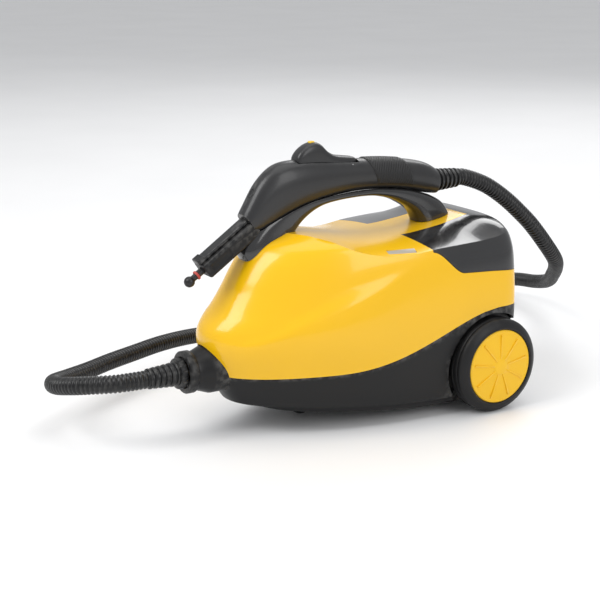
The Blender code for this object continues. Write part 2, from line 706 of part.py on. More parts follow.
def build_rear_wheels(machine):
    """Axle, and on each side tyre, rim, hub cap and retaining clip."""
    rubber = finish("tyre_rubber", (0.03, 0.03, 0.032), 0.55)
    black = finish("moulded_black", BLACK, 0.45)
    cap_yellow = finish("hub_yellow", (0.93, 0.6, 0.03), 0.35)
    steel = finish("brushed_steel", (0.6, 0.6, 0.6), 0.3, 1.0)
    axle_end = TRACK_HALF + WHEEL_WIDTH / 2 - 8 * MM
    place = (0, 0, WHEEL_RADIUS)
    add_object("rear_axle", rod(AXLE_RADIUS, -axle_end, axle_end, 16, "X", 0.6 * MM), steel, machine, place)
    half = WHEEL_WIDTH / 2
    r = WHEEL_RADIUS
    rim_r = HUB_RADIUS + 0.6 * MM
    tread = [(r - 9 * MM, -half), (r - 4 * MM, -half + 1 * MM), (r - 1 * MM, -half + 4 * MM),
             (r, -half + 9 * MM),
             (r, half - 9 * MM), (r - 1 * MM, half - 4 * MM), (r - 4 * MM, half - 1 * MM), (r - 9 * MM, half)]
    tyre = [(rim_r, half - 1 * MM), (rim_r, -half + 1 * MM)] + tread
    dish = half - 4 * MM
    bore = AXLE_RADIUS + TOUCH_GAP
    rim_out = rim_r - TOUCH_GAP
    rim = [(bore, -half + 2 * MM), (12 * MM, -half + 2 * MM), (12 * MM, dish - 8 * MM),
           (rim_out - 3 * MM, dish - 8 * MM),
           (rim_out - 3 * MM, -half + 2 * MM), (rim_out, -half + 2 * MM), (rim_out, dish),
           (rim_out - 3 * MM, dish),
           (rim_out - 3 * MM, dish - 5 * MM), (10 * MM, dish - 5 * MM), (10 * MM, half - 15 * MM),
           (bore, half - 15 * MM)]
    dome = [(0, dish + 0.6 * MM), (HUB_RADIUS - 1 * MM, dish + TOUCH_GAP), (HUB_RADIUS, dish + 1 * MM),
            (HUB_RADIUS, dish + 2.2 * MM), (HUB_RADIUS - 1.2 * MM, dish + 3.2 * MM),
            (HUB_RADIUS * 0.7, dish + 3.9 * MM),
            (HUB_RADIUS * 0.35, dish + 4.3 * MM), (9 * MM, dish + 4.4 * MM), (8 * MM, dish + 5.2 * MM),
            (0, dish + 5.4 * MM)]
    for side, sign in (("left", -1), ("right", 1)):
        centre = (sign * TRACK_HALF, 0, WHEEL_RADIUS)
        for name, section, material, steps in (("tyre", tyre, rubber, 40), ("rim", rim, black, 28),
                                               ("hub_cap", dome, cap_yellow, 36)):
            section = [(radius, sign * x) for radius, x in section]
            made = add_object(f"{name}_{side}", turned(section, steps, "X"), material, machine, centre)
            if name == "hub_cap":
                boolean(made, hub_fins(side, sign, dish, machine, centre), "UNION")
        ends = sorted((sign * 0.0, sign * 2 * MM))
        clip_x = TRACK_HALF + half - 15 * MM + 0.4 * MM
        add_object(f"axle_clip_{side}", tube(AXLE_RADIUS + 0.1 * MM, 8 * MM, *ends, 16, "X"), steel, machine,
                   (sign * clip_x, 0, WHEEL_RADIUS))


def hub_fins(side, sign, dish, machine, centre, count=9):
    """Shallow radial fins of a hub cap, as one cutter object."""
    bm = bmesh.new()
    for k in range(count):
        made = bmesh.ops.create_cube(bm, size=1.0)["verts"]
        bmesh.ops.scale(bm, vec=(2 * MM, 2 * MM, HUB_RADIUS - 13.5 * MM), verts=made)
        bmesh.ops.translate(bm, vec=(sign * (dish + 4 * MM), 0, HUB_RADIUS / 2 + 4 * MM), verts=made)
        bmesh.ops.rotate(bm, verts=made, cent=(0, 0, 0), matrix=Matrix.Rotation(math.tau * k / count, 3, "X"))
    return as_cutter(add_object(f"fins_{side}", bm, None, machine, centre))


def build_caster(machine):
    """Swivelling front caster under the nose."""
    black = finish("moulded_black", BLACK, 0.45)
    steel = finish("brushed_steel", (0.6, 0.6, 0.6), 0.3, 1.0)
    place = (0, -CASTER_FROM_AXLE, 0)
    plate_low = 2 * CASTER_RADIUS + 2 * MM
    cheek_in = CASTER_WIDTH / 2 + 1 * MM
    cheek_out = cheek_in + 2.5 * MM
    fork = add_object("caster_fork", rod(cheek_out + 4 * MM, plate_low, plate_low + 4 * MM, 24), black,
                      machine, place)
    stem = rod(AXLE_RADIUS, plate_low + 1 * MM, plate_low + 22 * MM, 16)
    boolean(fork, as_cutter(add_object("caster_stem", stem, None, machine, place)), "UNION")
    for side, sign in (("left", -1), ("right", 1)):
        low, high = sorted((sign * cheek_in, sign * cheek_out))
        cheek = block((low, -6 * MM, CASTER_RADIUS - 5 * MM), (high, CASTER_TRAIL + 5 * MM,
                                                               plate_low + 2 * MM))
        boolean(fork, as_cutter(add_object(f"cheek_{side}", cheek, None, machine, place)), "UNION")
    pin = (0, -CASTER_FROM_AXLE + CASTER_TRAIL, CASTER_RADIUS)
    boolean(fork, cutter_rod("caster_pin_hole", machine, 2.3 * MM, -0.03, 0.03, "X", pin))
    add_object("caster_pin", rod(2 * MM, -cheek_out - 1 * MM, cheek_out + 1 * MM, 16, "X"), steel, machine,
               pin)
    half = CASTER_WIDTH / 2
    wheel = [(2.3 * MM, -half), (CASTER_RADIUS - 2 * MM, -half), (CASTER_RADIUS, -half + 2 * MM),
             (CASTER_RADIUS, half - 2 * MM), (CASTER_RADIUS - 2 * MM, half), (2.3 * MM, half)]
    add_object("caster_wheel", turned(wheel, 24, "X"), finish("tyre_rubber", (0.03, 0.03, 0.032)), machine,
               pin)


def build_service_plate(machine, tub):
    """Flat cover under the tub, held by two countersunk screws."""
    black = finish("moulded_black", BLACK, 0.45)
    steel = finish("brushed_steel", (0.6, 0.6, 0.6), 0.3, 1.0)
    top = GROUND_CLEARANCE - TOUCH_GAP
    low = top - PLATE_THICKNESS
    plate = block((-PLATE_HALF_WIDTH, PLATE_FRONT, low), (PLATE_HALF_WIDTH, PLATE_REAR, top))
    plate = add_object("service_plate", plate, black, machine)
    y = (PLATE_FRONT + PLATE_REAR) / 2
    seat = low + SCREW_HEAD_HEIGHT + 2 * TOUCH_GAP
    for side, sign in (("left", -1), ("right", 1)):
        place = (sign * (PLATE_HALF_WIDTH - 7 * MM), y, 0)
        hole = cutter_rod(f"screw_hole_{side}", machine, SCREW_RADIUS + TOUCH_GAP, 0, 30 * MM, "Z", place, 16)
        sink = cutter_rod(f"screw_sink_{side}", machine, SCREW_HEAD_RADIUS + TOUCH_GAP, 0, seat, "Z", place,
                          16)
        boolean(plate, hole, solver="MANIFOLD")
        boolean(plate, sink, solver="MANIFOLD")
        boolean(tub, hole, solver="MANIFOLD")
        head_low, head_top = seat - TOUCH_GAP - SCREW_HEAD_HEIGHT, seat - TOUCH_GAP
        screw = [(0, head_low), (SCREW_HEAD_RADIUS - 0.6 * MM, head_low),
                 (SCREW_HEAD_RADIUS, head_low + 0.6 * MM), (SCREW_HEAD_RADIUS, head_top),
                 (SCREW_RADIUS, head_top),
                 (SCREW_RADIUS, head_top + SCREW_LENGTH), (0, head_top + SCREW_LENGTH)]
        add_object(f"plate_screw_{side}", turned(screw, 12), steel, machine, place)



# === carrying handle ==========================================================

# Side view of the arch: (y, z) of its underside and of its top, from the crown.
HANDLE_ARCH = (
    ((-100, -62), (-158, -68)), ((-98, -46), (-163, -56)), ((-94, -36.5), (-157, -42)),
    ((-80, -23.5), (-137, -24)), ((-60, -13.5), (-100, -8)), ((-34, -9.5), (-52, -2)), ((0, -9), (0, 0)),
    ((25, -13.5), (30, -1.5)), ((46, -22), (60, -6.5)), ((62, -32), (88, -16)), ((69.5, -42), (108, -28)),
    ((73, -53), (119, -48)), ((75, -66), (121, -66)))


def handle_form(grow=0.0):
    """The arch as rounded sections from the front foot to the rear foot."""
    crown = CREST_HEIGHT + HANDLE_RISE
    rings = []
    last = len(HANDLE_ARCH) - 1
    for k, (under, over) in enumerate(HANDLE_ARCH):
        low = Vector((HANDLE_Y + under[0] * MM, crown + under[1] * MM))
        high = Vector((HANDLE_Y + over[0] * MM, crown + over[1] * MM))
        outwards = (high - low).normalized() * grow
        low, high = low - outwards, high + outwards
        spread = ease(abs(2 * k / last - 1) * 1.6 - 0.6)
        width = mix(HANDLE_HALF_WIDTH, HANDLE_FOOT_HALF_WIDTH, spread) + grow
        rings.append(ring_between(low, high, width, 3.2))
    return loft(rings)


def build_handle(machine):
    """The arch stands on the deck and carries the gun in a shallow cradle."""
    handle = add_object("carry_handle", handle_form(), finish("gloss_black", BLACK, 0.2), machine)
    deck = as_cutter(add_object("deck_under_handle", upper_form(-TOUCH_GAP, drop=-TOUCH_GAP), None, machine))
    boolean(handle, deck, solver="MANIFOLD")
    cradle = as_cutter(add_object("gun_cradle", gun_form(GUN_CRADLE_GAP + GRIP_SLEEVE), None, machine))
    boolean(handle, cradle, solver="MANIFOLD")


# === steam gun ================================================================

# Side view of the gun: (y, z) of its belly and of its back, then half the width.
GUN_BODY = (
    ((0, -15), (0, 15), 15), ((-16, -12.5), (-15, 23), 17), ((-40, -7), (-38, 28.5), 17.5),
    ((-73, -2.5), (-73, 33), 17.5), ((-112, -1), (-113, 35.5), 17.5), ((-150, -5), (-155, 38.5), 18.5),
    ((-182, -12), (-189, 40.5), 19.5), ((-205, -21), (-216, 37), 19), ((-222, -29), (-237, 21), 17),
    ((-236, -33.5), (-253, -3.5), 15), ((-244, -33.5), (-258.5, -13), 13.5))


def gun_frame():
    """Where the tail end of the parked gun lies, as (y, z)."""
    return GUN_TAIL_Y, CREST_HEIGHT + HANDLE_RISE - 1.5 * MM


def gun_point(y, z):
    tail_y, tail_z = gun_frame()
    return tail_y + y * MM, tail_z + z * MM


def gun_form(grow=0.0):
    """The gun's body as rounded sections from the tail to the front."""
    rings = []
    last = len(GUN_BODY) - 1
    for k, (belly, back, half_width) in enumerate(GUN_BODY):
        low, high = Vector(gun_point(*belly)), Vector(gun_point(*back))
        lengthwise = (high - low).normalized() * grow
        along = Vector((1, 0)) * grow if k == 0 else Vector((-0.8, -0.6)) * grow if k == last else Vector((0,
                                                                                                           0))
        rings.append(ring_between(low - lengthwise + along, high + lengthwise + along,
                                  half_width * MM + grow, 2.3))
    return loft(rings)


def build_gun(machine):
    """Two shell halves, grip, connector, nozzle, lever, slider and button."""
    satin = finish("gun_grey", (0.06, 0.06, 0.063), 0.4)
    dark = finish("switch_black", (0.05, 0.05, 0.05), 0.5)
    inner = as_cutter(add_object("gun_hollow", gun_form(-GUN_WALL), None, machine))
    outer = as_cutter(add_object("gun_clear", gun_form(TOUCH_GAP), None, machine))
    tail_y, tail_z = gun_frame()
    tail_hole = cutter_rod("gun_tail_hole", machine, 9 * MM, tail_y - 0.02, tail_y + 0.01, "Y",
                           (0, 0, tail_z))
    slot = block((-LEVER_HALF_WIDTH - LEVER_GAP, tail_y - 0.192, tail_z + 0.026),
                 (LEVER_HALF_WIDTH + LEVER_GAP, tail_y - 0.111, tail_z + 0.07))
    slot = as_cutter(add_object("lever_slot", slot, None, machine))
    button_place = (0, *gun_point(-244.5, 8))
    button_hole = cutter_rod("button_hole", machine, BUTTON_RADIUS + TOUCH_GAP, -0.02, 0.03, "Z",
                             button_place)
    button_hole.rotation_euler = (BUTTON_TILT, 0, 0)
    for side, sign in (("left", -1), ("right", 1)):
        low, high = sorted((sign * TOUCH_GAP / 2, sign * 0.05))
        half = block((low, tail_y - 0.4, 0.1), (high, tail_y + 0.1, 0.4))
        half = as_cutter(add_object(f"gun_side_{side}", half, None, machine))
        shell = add_object(f"gun_shell_{side}", gun_form(), satin, machine)
        boolean(shell, half, "INTERSECT", "MANIFOLD")
        for cutter in (inner, tail_hole, slot, button_hole):
            boolean(shell, cutter, solver="MANIFOLD")
    button = rod(BUTTON_RADIUS, -5 * MM, 1.6 * MM, 24, "Z", 0.6 * MM)
    button = add_object("release_button", button, dark, machine, button_place)
    button.rotation_euler = (BUTTON_TILT, 0, 0)
    build_grip(machine, outer)
    build_lever(machine)
    build_connector(machine, outer)
    valve = block((-9 * MM, tail_y - 0.178, tail_z + 1.5 * MM), (9 * MM, tail_y - 0.140, tail_z + 17 * MM))
    valve = add_object("gun_valve", valve, dark, machine)
    bevel(valve, 1.5 * MM)
    brass = finish("brass", (0.7, 0.5, 0.2), 0.3, 1.0)
    add_object("gun_steam_pipe", rod(3 * MM, tail_y - 0.1397, tail_y - 0.021, 16, "Y"), brass, machine,
               (0, 0, tail_z + 5.5 * MM))


def build_grip(machine, outer):
    """Ribbed sleeve over the back and flanks of the grip."""
    tail_y, tail_z = gun_frame()
    grip = add_object("grip_sleeve", gun_form(GRIP_SLEEVE), finish("grip_rubber", (0.035, 0.035, 0.036), 0.6),
                      machine)
    boolean(grip, outer)
    outline = [(tail_y - 0.107, tail_z + 0.05), (tail_y - 0.088, tail_z + 0.004),
               (tail_y - 0.036, tail_z - 0.001), (tail_y - 0.055, tail_z + 0.05)]
    boolean(grip, as_cutter(add_object("grip_zone", prism(outline, 0.05), None, machine)), "INTERSECT")


def build_lever(machine):
    """Thumb lever on the gun's back, its hinge pin and the lock slider on its peak."""
    satin = finish("gun_grey", (0.06, 0.06, 0.063), 0.4)
    steel = finish("brushed_steel", (0.6, 0.6, 0.6), 0.3, 1.0)
    sections = ((-191, 31, 37, 5), (-189.5, 30, 45, 8), (-184, 30, 51.5, 9.6), (-176, 30, 56.5, 10),
                (-167, 30, 58.5, 10), (-159, 30, 56, 10), (-150, 30, 47.5, 10), (-140, 28, 42.5, 10),
                (-126, 27, 40, 9.6), (-116, 27, 38.5, 8), (-112, 28.5, 36.5, 5))
    rings = [ring_between(gun_point(y, low), gun_point(y, high), half * MM, 3.0, 20)
             for y, low, high, half in sections]
    lever = add_object("thumb_lever", loft(rings), satin, machine)
    pin_place = (0, *gun_point(-121, 30.2))
    boolean(lever, cutter_rod("lever_pin_hole", machine, 1.8 * MM, -0.03, 0.03, "X", pin_place, 16))
    add_object("lever_pin", rod(1.5 * MM, -12.5 * MM, 12.5 * MM, 16, "X"), steel, machine, pin_place)
    for side in ("left", "right"):
        shell = bpy.data.objects[f"gun_shell_{side}"]
        seat = cutter_rod(f"lever_pin_seat_{side}", machine, 1.8 * MM, -0.0135, 0.0135, "X", pin_place, 16)
        boolean(shell, seat, solver="MANIFOLD")
    y, z = gun_point(-167, 54.5)
    room = as_cutter(add_object("slider_room", block((-3.4 * MM, y - 5 * MM, z),
                                                     (3.4 * MM, y + 5 * MM, z + 0.01)),
                                None, machine))
    boolean(lever, room)
    slider = add_object("lock_slider", block((-3 * MM, y - 4.6 * MM, z + TOUCH_GAP),
                                             (3 * MM, y + 1.6 * MM, z + 5 * MM)),
                        finish("mark_yellow", (0.9, 0.6, 0.02), 0.35), machine)
    bevel(slider, 0.8 * MM)


def along_nozzle(distance, above=0.0):
    """A point (y, z) on the connector's axis, measured from the nozzle's ball."""
    y, z = gun_point(-322, -79.5)
    run = (math.cos(NOZZLE_SLOPE), math.sin(NOZZLE_SLOPE))
    return y + distance * run[0] - above * run[1], z + distance * run[1] + above * run[0]


def build_connector(machine, outer):
    """Connector body under the front of the gun, latch rail, nozzle and its red seal."""
    black = finish("moulded_black", BLACK, 0.45)
    dark = finish("switch_black", (0.05, 0.05, 0.05), 0.5)
    face = 19 * MM
    tilt = NOZZLE_SLOPE
    place = (0, *along_nozzle(0))
    body = block((-CONNECTOR_HALF_WIDTH, face, -CONNECTOR_HEIGHT / 2),
                 (CONNECTOR_HALF_WIDTH, face + CONNECTOR_LENGTH, CONNECTOR_HEIGHT / 2))
    body = add_object("connector_body", body, black, machine, place)
    body.rotation_euler = (tilt, 0, 0)
    bevel(body, 3 * MM, 3)
    bore = as_cutter(add_object("nozzle_bore", rod(4.3 * MM, 0, face + 14 * MM, 20, "Y"), None, machine,
                                place))
    bore.rotation_euler = (tilt, 0, 0)
    boolean(body, bore)
    boolean(body, outer)
    arch = as_cutter(add_object("arch_clear", handle_form(TOUCH_GAP), None, machine))
    boolean(body, arch)
    rail_low = CONNECTOR_HEIGHT / 2 + TOUCH_GAP
    outline = [(face - 1 * MM, rail_low), (face + CONNECTOR_LENGTH, rail_low),
               (face + CONNECTOR_LENGTH, rail_low + 4 * MM), (face + 9 * MM, rail_low + 4 * MM),
               (face + 7 * MM, rail_low + 6 * MM), (face - 1 * MM, rail_low + 6 * MM)]
    rail = add_object("latch_rail", prism(outline, 7 * MM), dark, machine, place)
    rail.rotation_euler = (tilt, 0, 0)
    bevel(rail, 1 * MM, 2)
    boolean(rail, outer)
    ball = NOZZLE_TIP_RADIUS
    arc = [(ball * math.sin(t), -ball * math.cos(t)) for t in (math.pi * 0.74 * k / 8 for k in range(9))]
    neck = [(3.6 * MM, 7.4 * MM), (3.6 * MM, 9.0 * MM), (3.4 * MM, 9.2 * MM), (3.4 * MM, 12.6 * MM),
            (4 * MM, 12.8 * MM), (4 * MM, face + 13 * MM), (0, face + 13 * MM)]
    nozzle = add_object("nozzle_tube", turned([(0, -ball)] + arc[1:] + neck, 16, "Y"), dark, machine, place)
    nozzle.rotation_euler = (tilt, 0, 0)
    seal = [(3.7 * MM, 9.5 * MM), (4.9 * MM, 9.5 * MM), (5.4 * MM, 10.3 * MM), (5.4 * MM, 11.5 * MM),
            (4.9 * MM, 12.3 * MM), (3.7 * MM, 12.3 * MM)]
    seal = add_object("nozzle_seal", turned(seal, 16, "Y"), finish("seal_red", (0.6, 0.06, 0.04), 0.5),
                      machine, place)
    seal.rotation_euler = (tilt, 0, 0)


# === hose =====================================================================

# The hose's route in the world frame, in millimetres: out of the nose, round a
# flat loop on the floor, along the far side, and up to the tail of the gun.
HOSE_ROUTE = (
    (-3, -276, 74), (-14, -296, 73), (-34, -311, 69), (-64, -318, 62), (-98, -308, 54), (-126, -281, 47),
    (-147, -247, 44), (-168, -209, 43), (-187, -169, 42), (-206, -128, 41), (-226, -86, 37), (-247, -43, 30),
    (-268, 0, 20), (-288, 45, 12), (-306, 92, 10), (-320, 140, 10), (-331, 190, 10), (-340, 240, 10),
    (-347, 290, 10), (-349, 340, 10), (-345, 388, 10), (-332, 430, 13), (-310, 462, 19), (-281, 480, 26),
    (-245, 486, 33), (-203, 479, 40), (-160, 461, 52), (-122, 436, 67), (-90, 411, 83), (-50, 379, 105),
    (-18, 348, 127), (-5, 320, 152), (0, 290, 182), (0, 268, 202), (0, 245, 220.5), (0, 219, 237.5),
              (0, 198, 247))


def hose_points():
    """Smooth curve through the route, with the straight starts at both sleeves."""
    nose = Vector((0, AXLE_FROM_CENTRE - NOSE_REACH - COLLAR_LENGTH - NUT_LENGTH - SLEEVE_LENGTH
                   - 2 * TOUCH_GAP - HOSE_END_GAP, OUTLET_Z))
    tail_y, tail_z = gun_frame()
    tail = Vector((0, AXLE_FROM_CENTRE + tail_y + TOUCH_GAP + SLEEVE_LENGTH + HOSE_END_GAP, tail_z))
    straight = Vector((0, 12 * MM, 0))
    route = [nose + straight, nose, nose - 0.8 * straight]
    route += [Vector(p) * MM for p in HOSE_ROUTE]
    route += [tail + 0.8 * straight, tail, tail - straight]
    points = []
    for a, b, c, d in zip(route, route[1:], route[2:], route[3:]):
        for step in range(2):
            t = step / 2
            points.append(0.5 * (2 * b + (c - a) * t + (2 * a - 5 * b + 4 * c - d) * t**2
                                 + (3 * b - a - 3 * c + d) * t**3))
    points.append(tail)
    return [Vector((p.x, p.y, max(p.z, HOSE_RADIUS + 0.1 * MM))) for p in points]


def ribbed_sleeve(length, big, small, bore, ribs):
    """Half-section of a tapered strain relief with rounded ribs, as (radius, y)."""
    profile = [(bore, 0), (big, 0)]
    for k in range(ribs):
        at = length * (k + 0.35) / ribs
        radius = mix(big, small, (k + 0.5) / ribs)
        profile += [(radius, at), (radius - 1.6 * MM, at + 0.1 * length / ribs),
                    (radius - 1.6 * MM, at + 0.4 * length / ribs), (radius, at + 0.5 * length / ribs)]
    return profile + [(small, length), (bore, length)]


def build_hose(machine):
    """Union nut, strain reliefs at both ends and the free hose."""
    rubber = finish("hose_rubber", (0.03, 0.03, 0.031), 0.5)
    black = finish("moulded_black", BLACK, 0.45)
    front = -NOSE_REACH - COLLAR_LENGTH - TOUCH_GAP
    r = NUT_RADIUS
    nut = [(7 * MM, front - NUT_LENGTH), (r - 1 * MM, front - NUT_LENGTH), (r, front - NUT_LENGTH + 1 * MM),
           (r, front - 1 * MM), (r - 1 * MM, front), (COUPLING_RADIUS + TOUCH_GAP, front),
           (COUPLING_RADIUS + TOUCH_GAP, front - 3 * MM), (7 * MM, front - 3 * MM)]
    add_object("hose_nut", turned(nut, 24, "Y"), black, machine, (0, 0, OUTLET_Z))
    section = ribbed_sleeve(SLEEVE_LENGTH, SLEEVE_RADIUS, HOSE_RADIUS + 1.2 * MM, 7 * MM, 4)
    nose_sleeve = [(radius, -y) for radius, y in section]
    add_object("hose_sleeve_nose", turned(nose_sleeve, 20, "Y"), rubber, machine,
               (0, front - NUT_LENGTH - TOUCH_GAP, OUTLET_Z))
    tail_y, tail_z = gun_frame()
    add_object("hose_sleeve_gun", turned(section, 20, "Y"), rubber, machine, (0, tail_y + TOUCH_GAP, tail_z))
    hose = add_wire("steam_hose", hose_points(), HOSE_RADIUS, rubber, None, 3)
    hose.data.use_fill_caps = True


# === small pieces =============================================================

def build_trim(machine, hood):
    """Badge inlay, mains gland and the two lamp lenses."""
    black = finish("moulded_black", BLACK, 0.45)
    gland_place = (-40 * MM, 0, (2 * WHEEL_RADIUS + LID_SIDE_HEIGHT + 8 * MM) / 2)
    boolean(hood, cutter_rod("gland_hole", machine, 6 * MM + TOUCH_GAP, TAIL_REACH - 15 * MM,
                             TAIL_REACH + 20 * MM,
                             "Y", gland_place), solver="MANIFOLD")
    rear = TAIL_REACH
    gland = [(3.8 * MM, rear - 8 * MM), (6 * MM, rear - 8 * MM), (6 * MM, rear + TOUCH_GAP),
             (8.5 * MM, rear + TOUCH_GAP),
             (8.5 * MM, rear + 3 * MM), (5.5 * MM, rear + 5 * MM), (5.5 * MM, rear + 9 * MM),
             (3.8 * MM, rear + 9 * MM)]
    add_object("mains_gland", turned(gland, 16, "Y"), black, machine, gland_place)
    for name, x, colour in (("lamp_power", -30, (0.1, 0.5, 0.15)), ("lamp_heat", -44, (0.9, 0.35, 0.03))):
        y = -182 * MM
        edge = side_point(lamp_station(y), 1.0).x
        top = deck_height(x * MM, y, edge)
        place = (x * MM, y, 0)
        boolean(hood, cutter_rod(f"{name}_hole", machine, 3.5 * MM + TOUCH_GAP, top - 0.02, top + 0.02, "Z",
                                 place),
                solver="MANIFOLD")
        lens = rod(3.5 * MM, top - 5 * MM, top + 1.4 * MM, 12, "Z", 0.8 * MM)
        add_object(name, lens, finish(name, colour, 0.2), machine, place)
    centre_y = -114 * MM
    edge = side_point(lamp_station(centre_y), 1.0).x
    x = edge - 10 * MM
    top = deck_height(x, centre_y, edge)
    seat = block((-4.5 * MM, -17 * MM, -3 * MM), (4.5 * MM, 17 * MM, 5 * MM))
    turn = (math.radians(1.5), math.radians(24), math.radians(-13))
    seat = as_cutter(add_object("badge_seat", seat, None, machine, (x, centre_y, top - 0.6 * MM)))
    badge = add_object("badge", block((-4.1 * MM, -16.6 * MM, 0.3 * MM), (4.1 * MM, 16.6 * MM, 1.6 * MM)),
                       finish("badge_grey", (0.5, 0.47, 0.42), 0.3, 0.6), machine,
                       (x, centre_y, top - 1.4 * MM))
    for item in (seat, badge):
        item.rotation_euler = turn
    boolean(hood, seat, solver="MANIFOLD")


def lamp_station(y):
    """The plan angle whose shoulder point lies at this y."""
    low, high = 0.0, math.pi / 2
    for _ in range(30):
        middle = (low + high) / 2
        if side_point(middle, 1.0).y < y:
            low = middle
        else:
            high = middle
    return (low + high) / 2


def main():
    """Build the whole machine."""
    clear_scene()
    machine = bpy.data.objects.new("machine", None)
    machine.location = (0, AXLE_FROM_CENTRE, 0)
    bpy.context.scene.collection.objects.link(machine)
    tub, hood = build_body(machine)
    build_lid_hinge(machine)
    build_tray(machine)
    build_filler(machine)
    build_boiler(machine)
    build_steam_line(machine)
    build_rear_wheels(machine)
    build_caster(machine)
    build_service_plate(machine, tub)
    build_handle(machine)
    build_gun(machine)
    build_hose(machine)
    build_trim(machine, hood)


main()
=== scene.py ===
"""Looks of a canister steam cleaner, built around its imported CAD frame.

The body is a black tub under a yellow hood, with a black lid at the rear, a
black carrying handle over the deck and a steam gun parked on that handle. The
hose leaves the nose, lies in a loop on the floor and climbs to the gun's tail.
All lengths are metres. Machine lengths count from the rear axle.
"""

import logging  # noqa: E402
import math  # noqa: E402
from dataclasses import dataclass, field  # noqa: E402
from enum import Enum  # noqa: E402
from typing import Callable, Sequence  # noqa: E402

import bmesh  # noqa: E402
import bpy  # noqa: E402
from mathutils import Matrix, Vector  # noqa: E402


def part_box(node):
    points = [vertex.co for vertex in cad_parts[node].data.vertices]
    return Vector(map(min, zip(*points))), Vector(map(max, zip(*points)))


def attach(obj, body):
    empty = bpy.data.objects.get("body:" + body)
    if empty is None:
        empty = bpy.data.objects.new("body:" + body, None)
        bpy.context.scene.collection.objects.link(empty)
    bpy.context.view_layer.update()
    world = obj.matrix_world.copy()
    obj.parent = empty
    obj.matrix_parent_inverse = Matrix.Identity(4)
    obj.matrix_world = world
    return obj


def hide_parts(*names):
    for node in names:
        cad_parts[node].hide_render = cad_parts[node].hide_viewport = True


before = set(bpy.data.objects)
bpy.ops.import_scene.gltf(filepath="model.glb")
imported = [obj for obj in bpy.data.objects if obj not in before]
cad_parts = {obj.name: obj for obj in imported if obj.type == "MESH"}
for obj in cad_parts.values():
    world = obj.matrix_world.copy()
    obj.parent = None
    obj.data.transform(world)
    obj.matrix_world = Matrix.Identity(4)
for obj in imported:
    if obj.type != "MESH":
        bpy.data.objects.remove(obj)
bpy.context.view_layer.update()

log = logging.getLogger("steam_cleaner")
MM = 0.001
Pair = tuple[float, float]


class Axis(Enum):
    """The world axis that a turned piece stands along."""

    X = (0.0, math.pi / 2, 0.0)
    Y = (-math.pi / 2, 0.0, 0.0)
    Z = (0.0, 0.0, 0.0)


class Cut(Enum):
    """What a cutter does to a piece."""

    REMOVE = "DIFFERENCE"
    KEEP = "INTERSECT"
    ADD = "UNION"


# --- shader groups and finishes -----------------------------------------------


def new_group(name: str, inputs: dict[str, tuple[str, float | tuple]], outputs: dict[str, str]):
    """Make a shader node group with named sockets.

    Args:
        name: The group's name.
        inputs: Socket names with their kind and starting value.
        outputs: Socket names with their kind.

    Returns:
        The group with its input node and output node.
    """
    group = bpy.data.node_groups.new(name, "ShaderNodeTree")
    for label, (kind, value) in inputs.items():
        socket = group.interface.new_socket(label, in_out="INPUT", socket_type=f"NodeSocket{kind}")
        socket.default_value = value
    for label, kind in outputs.items():
        group.interface.new_socket(label, in_out="OUTPUT", socket_type=f"NodeSocket{kind}")
    return group, group.nodes.new("NodeGroupInput"), group.nodes.new("NodeGroupOutput")


def noise(nodes, links, vector, scale, detail: float, distortion: float = 0.0):
    """Add a noise texture and return its value socket.

    Args:
        nodes: The tree's nodes.
        links: The tree's links.
        vector: The socket with the coordinates.
        scale: A number, or the socket that gives it.
        detail: Octaves of the noise.
        distortion: How far the pattern is warped.

    Returns:
        The noise's value output.
    """
    node = nodes.new("ShaderNodeTexNoise")
    node.inputs["Detail"].default_value = detail
    node.inputs["Distortion"].default_value = distortion
    links.new(vector, node.inputs["Vector"])
    if isinstance(scale, (int, float)):
        node.inputs["Scale"].default_value = scale
    else:
        links.new(scale, node.inputs["Scale"])
    return node.outputs["Fac"]


def math_node(nodes, links, operation: str, first, second):
    """Add a Math node over two sockets or numbers and return its value.

    Args:
        nodes: The tree's nodes.
        links: The tree's links.
        operation: The Math node's operation.
        first: A socket or a number.
        second: A socket or a number.

    Returns:
        The node's output.
    """
    node = nodes.new("ShaderNodeMath")
    node.operation = operation
    for socket, value in zip(node.inputs, (first, second)):
        if isinstance(value, (int, float)):
            socket.default_value = value
        else:
            links.new(value, socket)
    return node.outputs[0]


def remap(nodes, links, value, low: float, high: float, to_low: float, to_high: float):
    """Stretch a value from one range to another, clamped.

    Args:
        nodes: The tree's nodes.
        links: The tree's links.
        value: The socket to stretch.
        low: Start of the range read.
        high: End of the range read.
        to_low: Start of the range given.
        to_high: End of the range given.

    Returns:
        The stretched value.
    """
    node = nodes.new("ShaderNodeMapRange")
    for socket, number in zip(list(node.inputs)[1:5], (low, high, to_low, to_high)):
        socket.default_value = number
    links.new(value, node.inputs[0])
    return node.outputs[0]


def blend_colour(nodes, links, factor, first, second):
    """Mix two colours and return the result.

    Args:
        nodes: The tree's nodes.
        links: The tree's links.
        factor: The socket with the share of the second colour.
        first: A socket or an RGBA value.
        second: A socket or an RGBA value.

    Returns:
        The mixed colour.
    """
    node = nodes.new("ShaderNodeMix")
    node.data_type = "RGBA"
    links.new(factor, node.inputs[0])
    for socket, value in ((node.inputs[6], first), (node.inputs[7], second)):
        if isinstance(value, tuple):
            socket.default_value = value
        else:
            links.new(value, socket)
    return node.outputs[2]


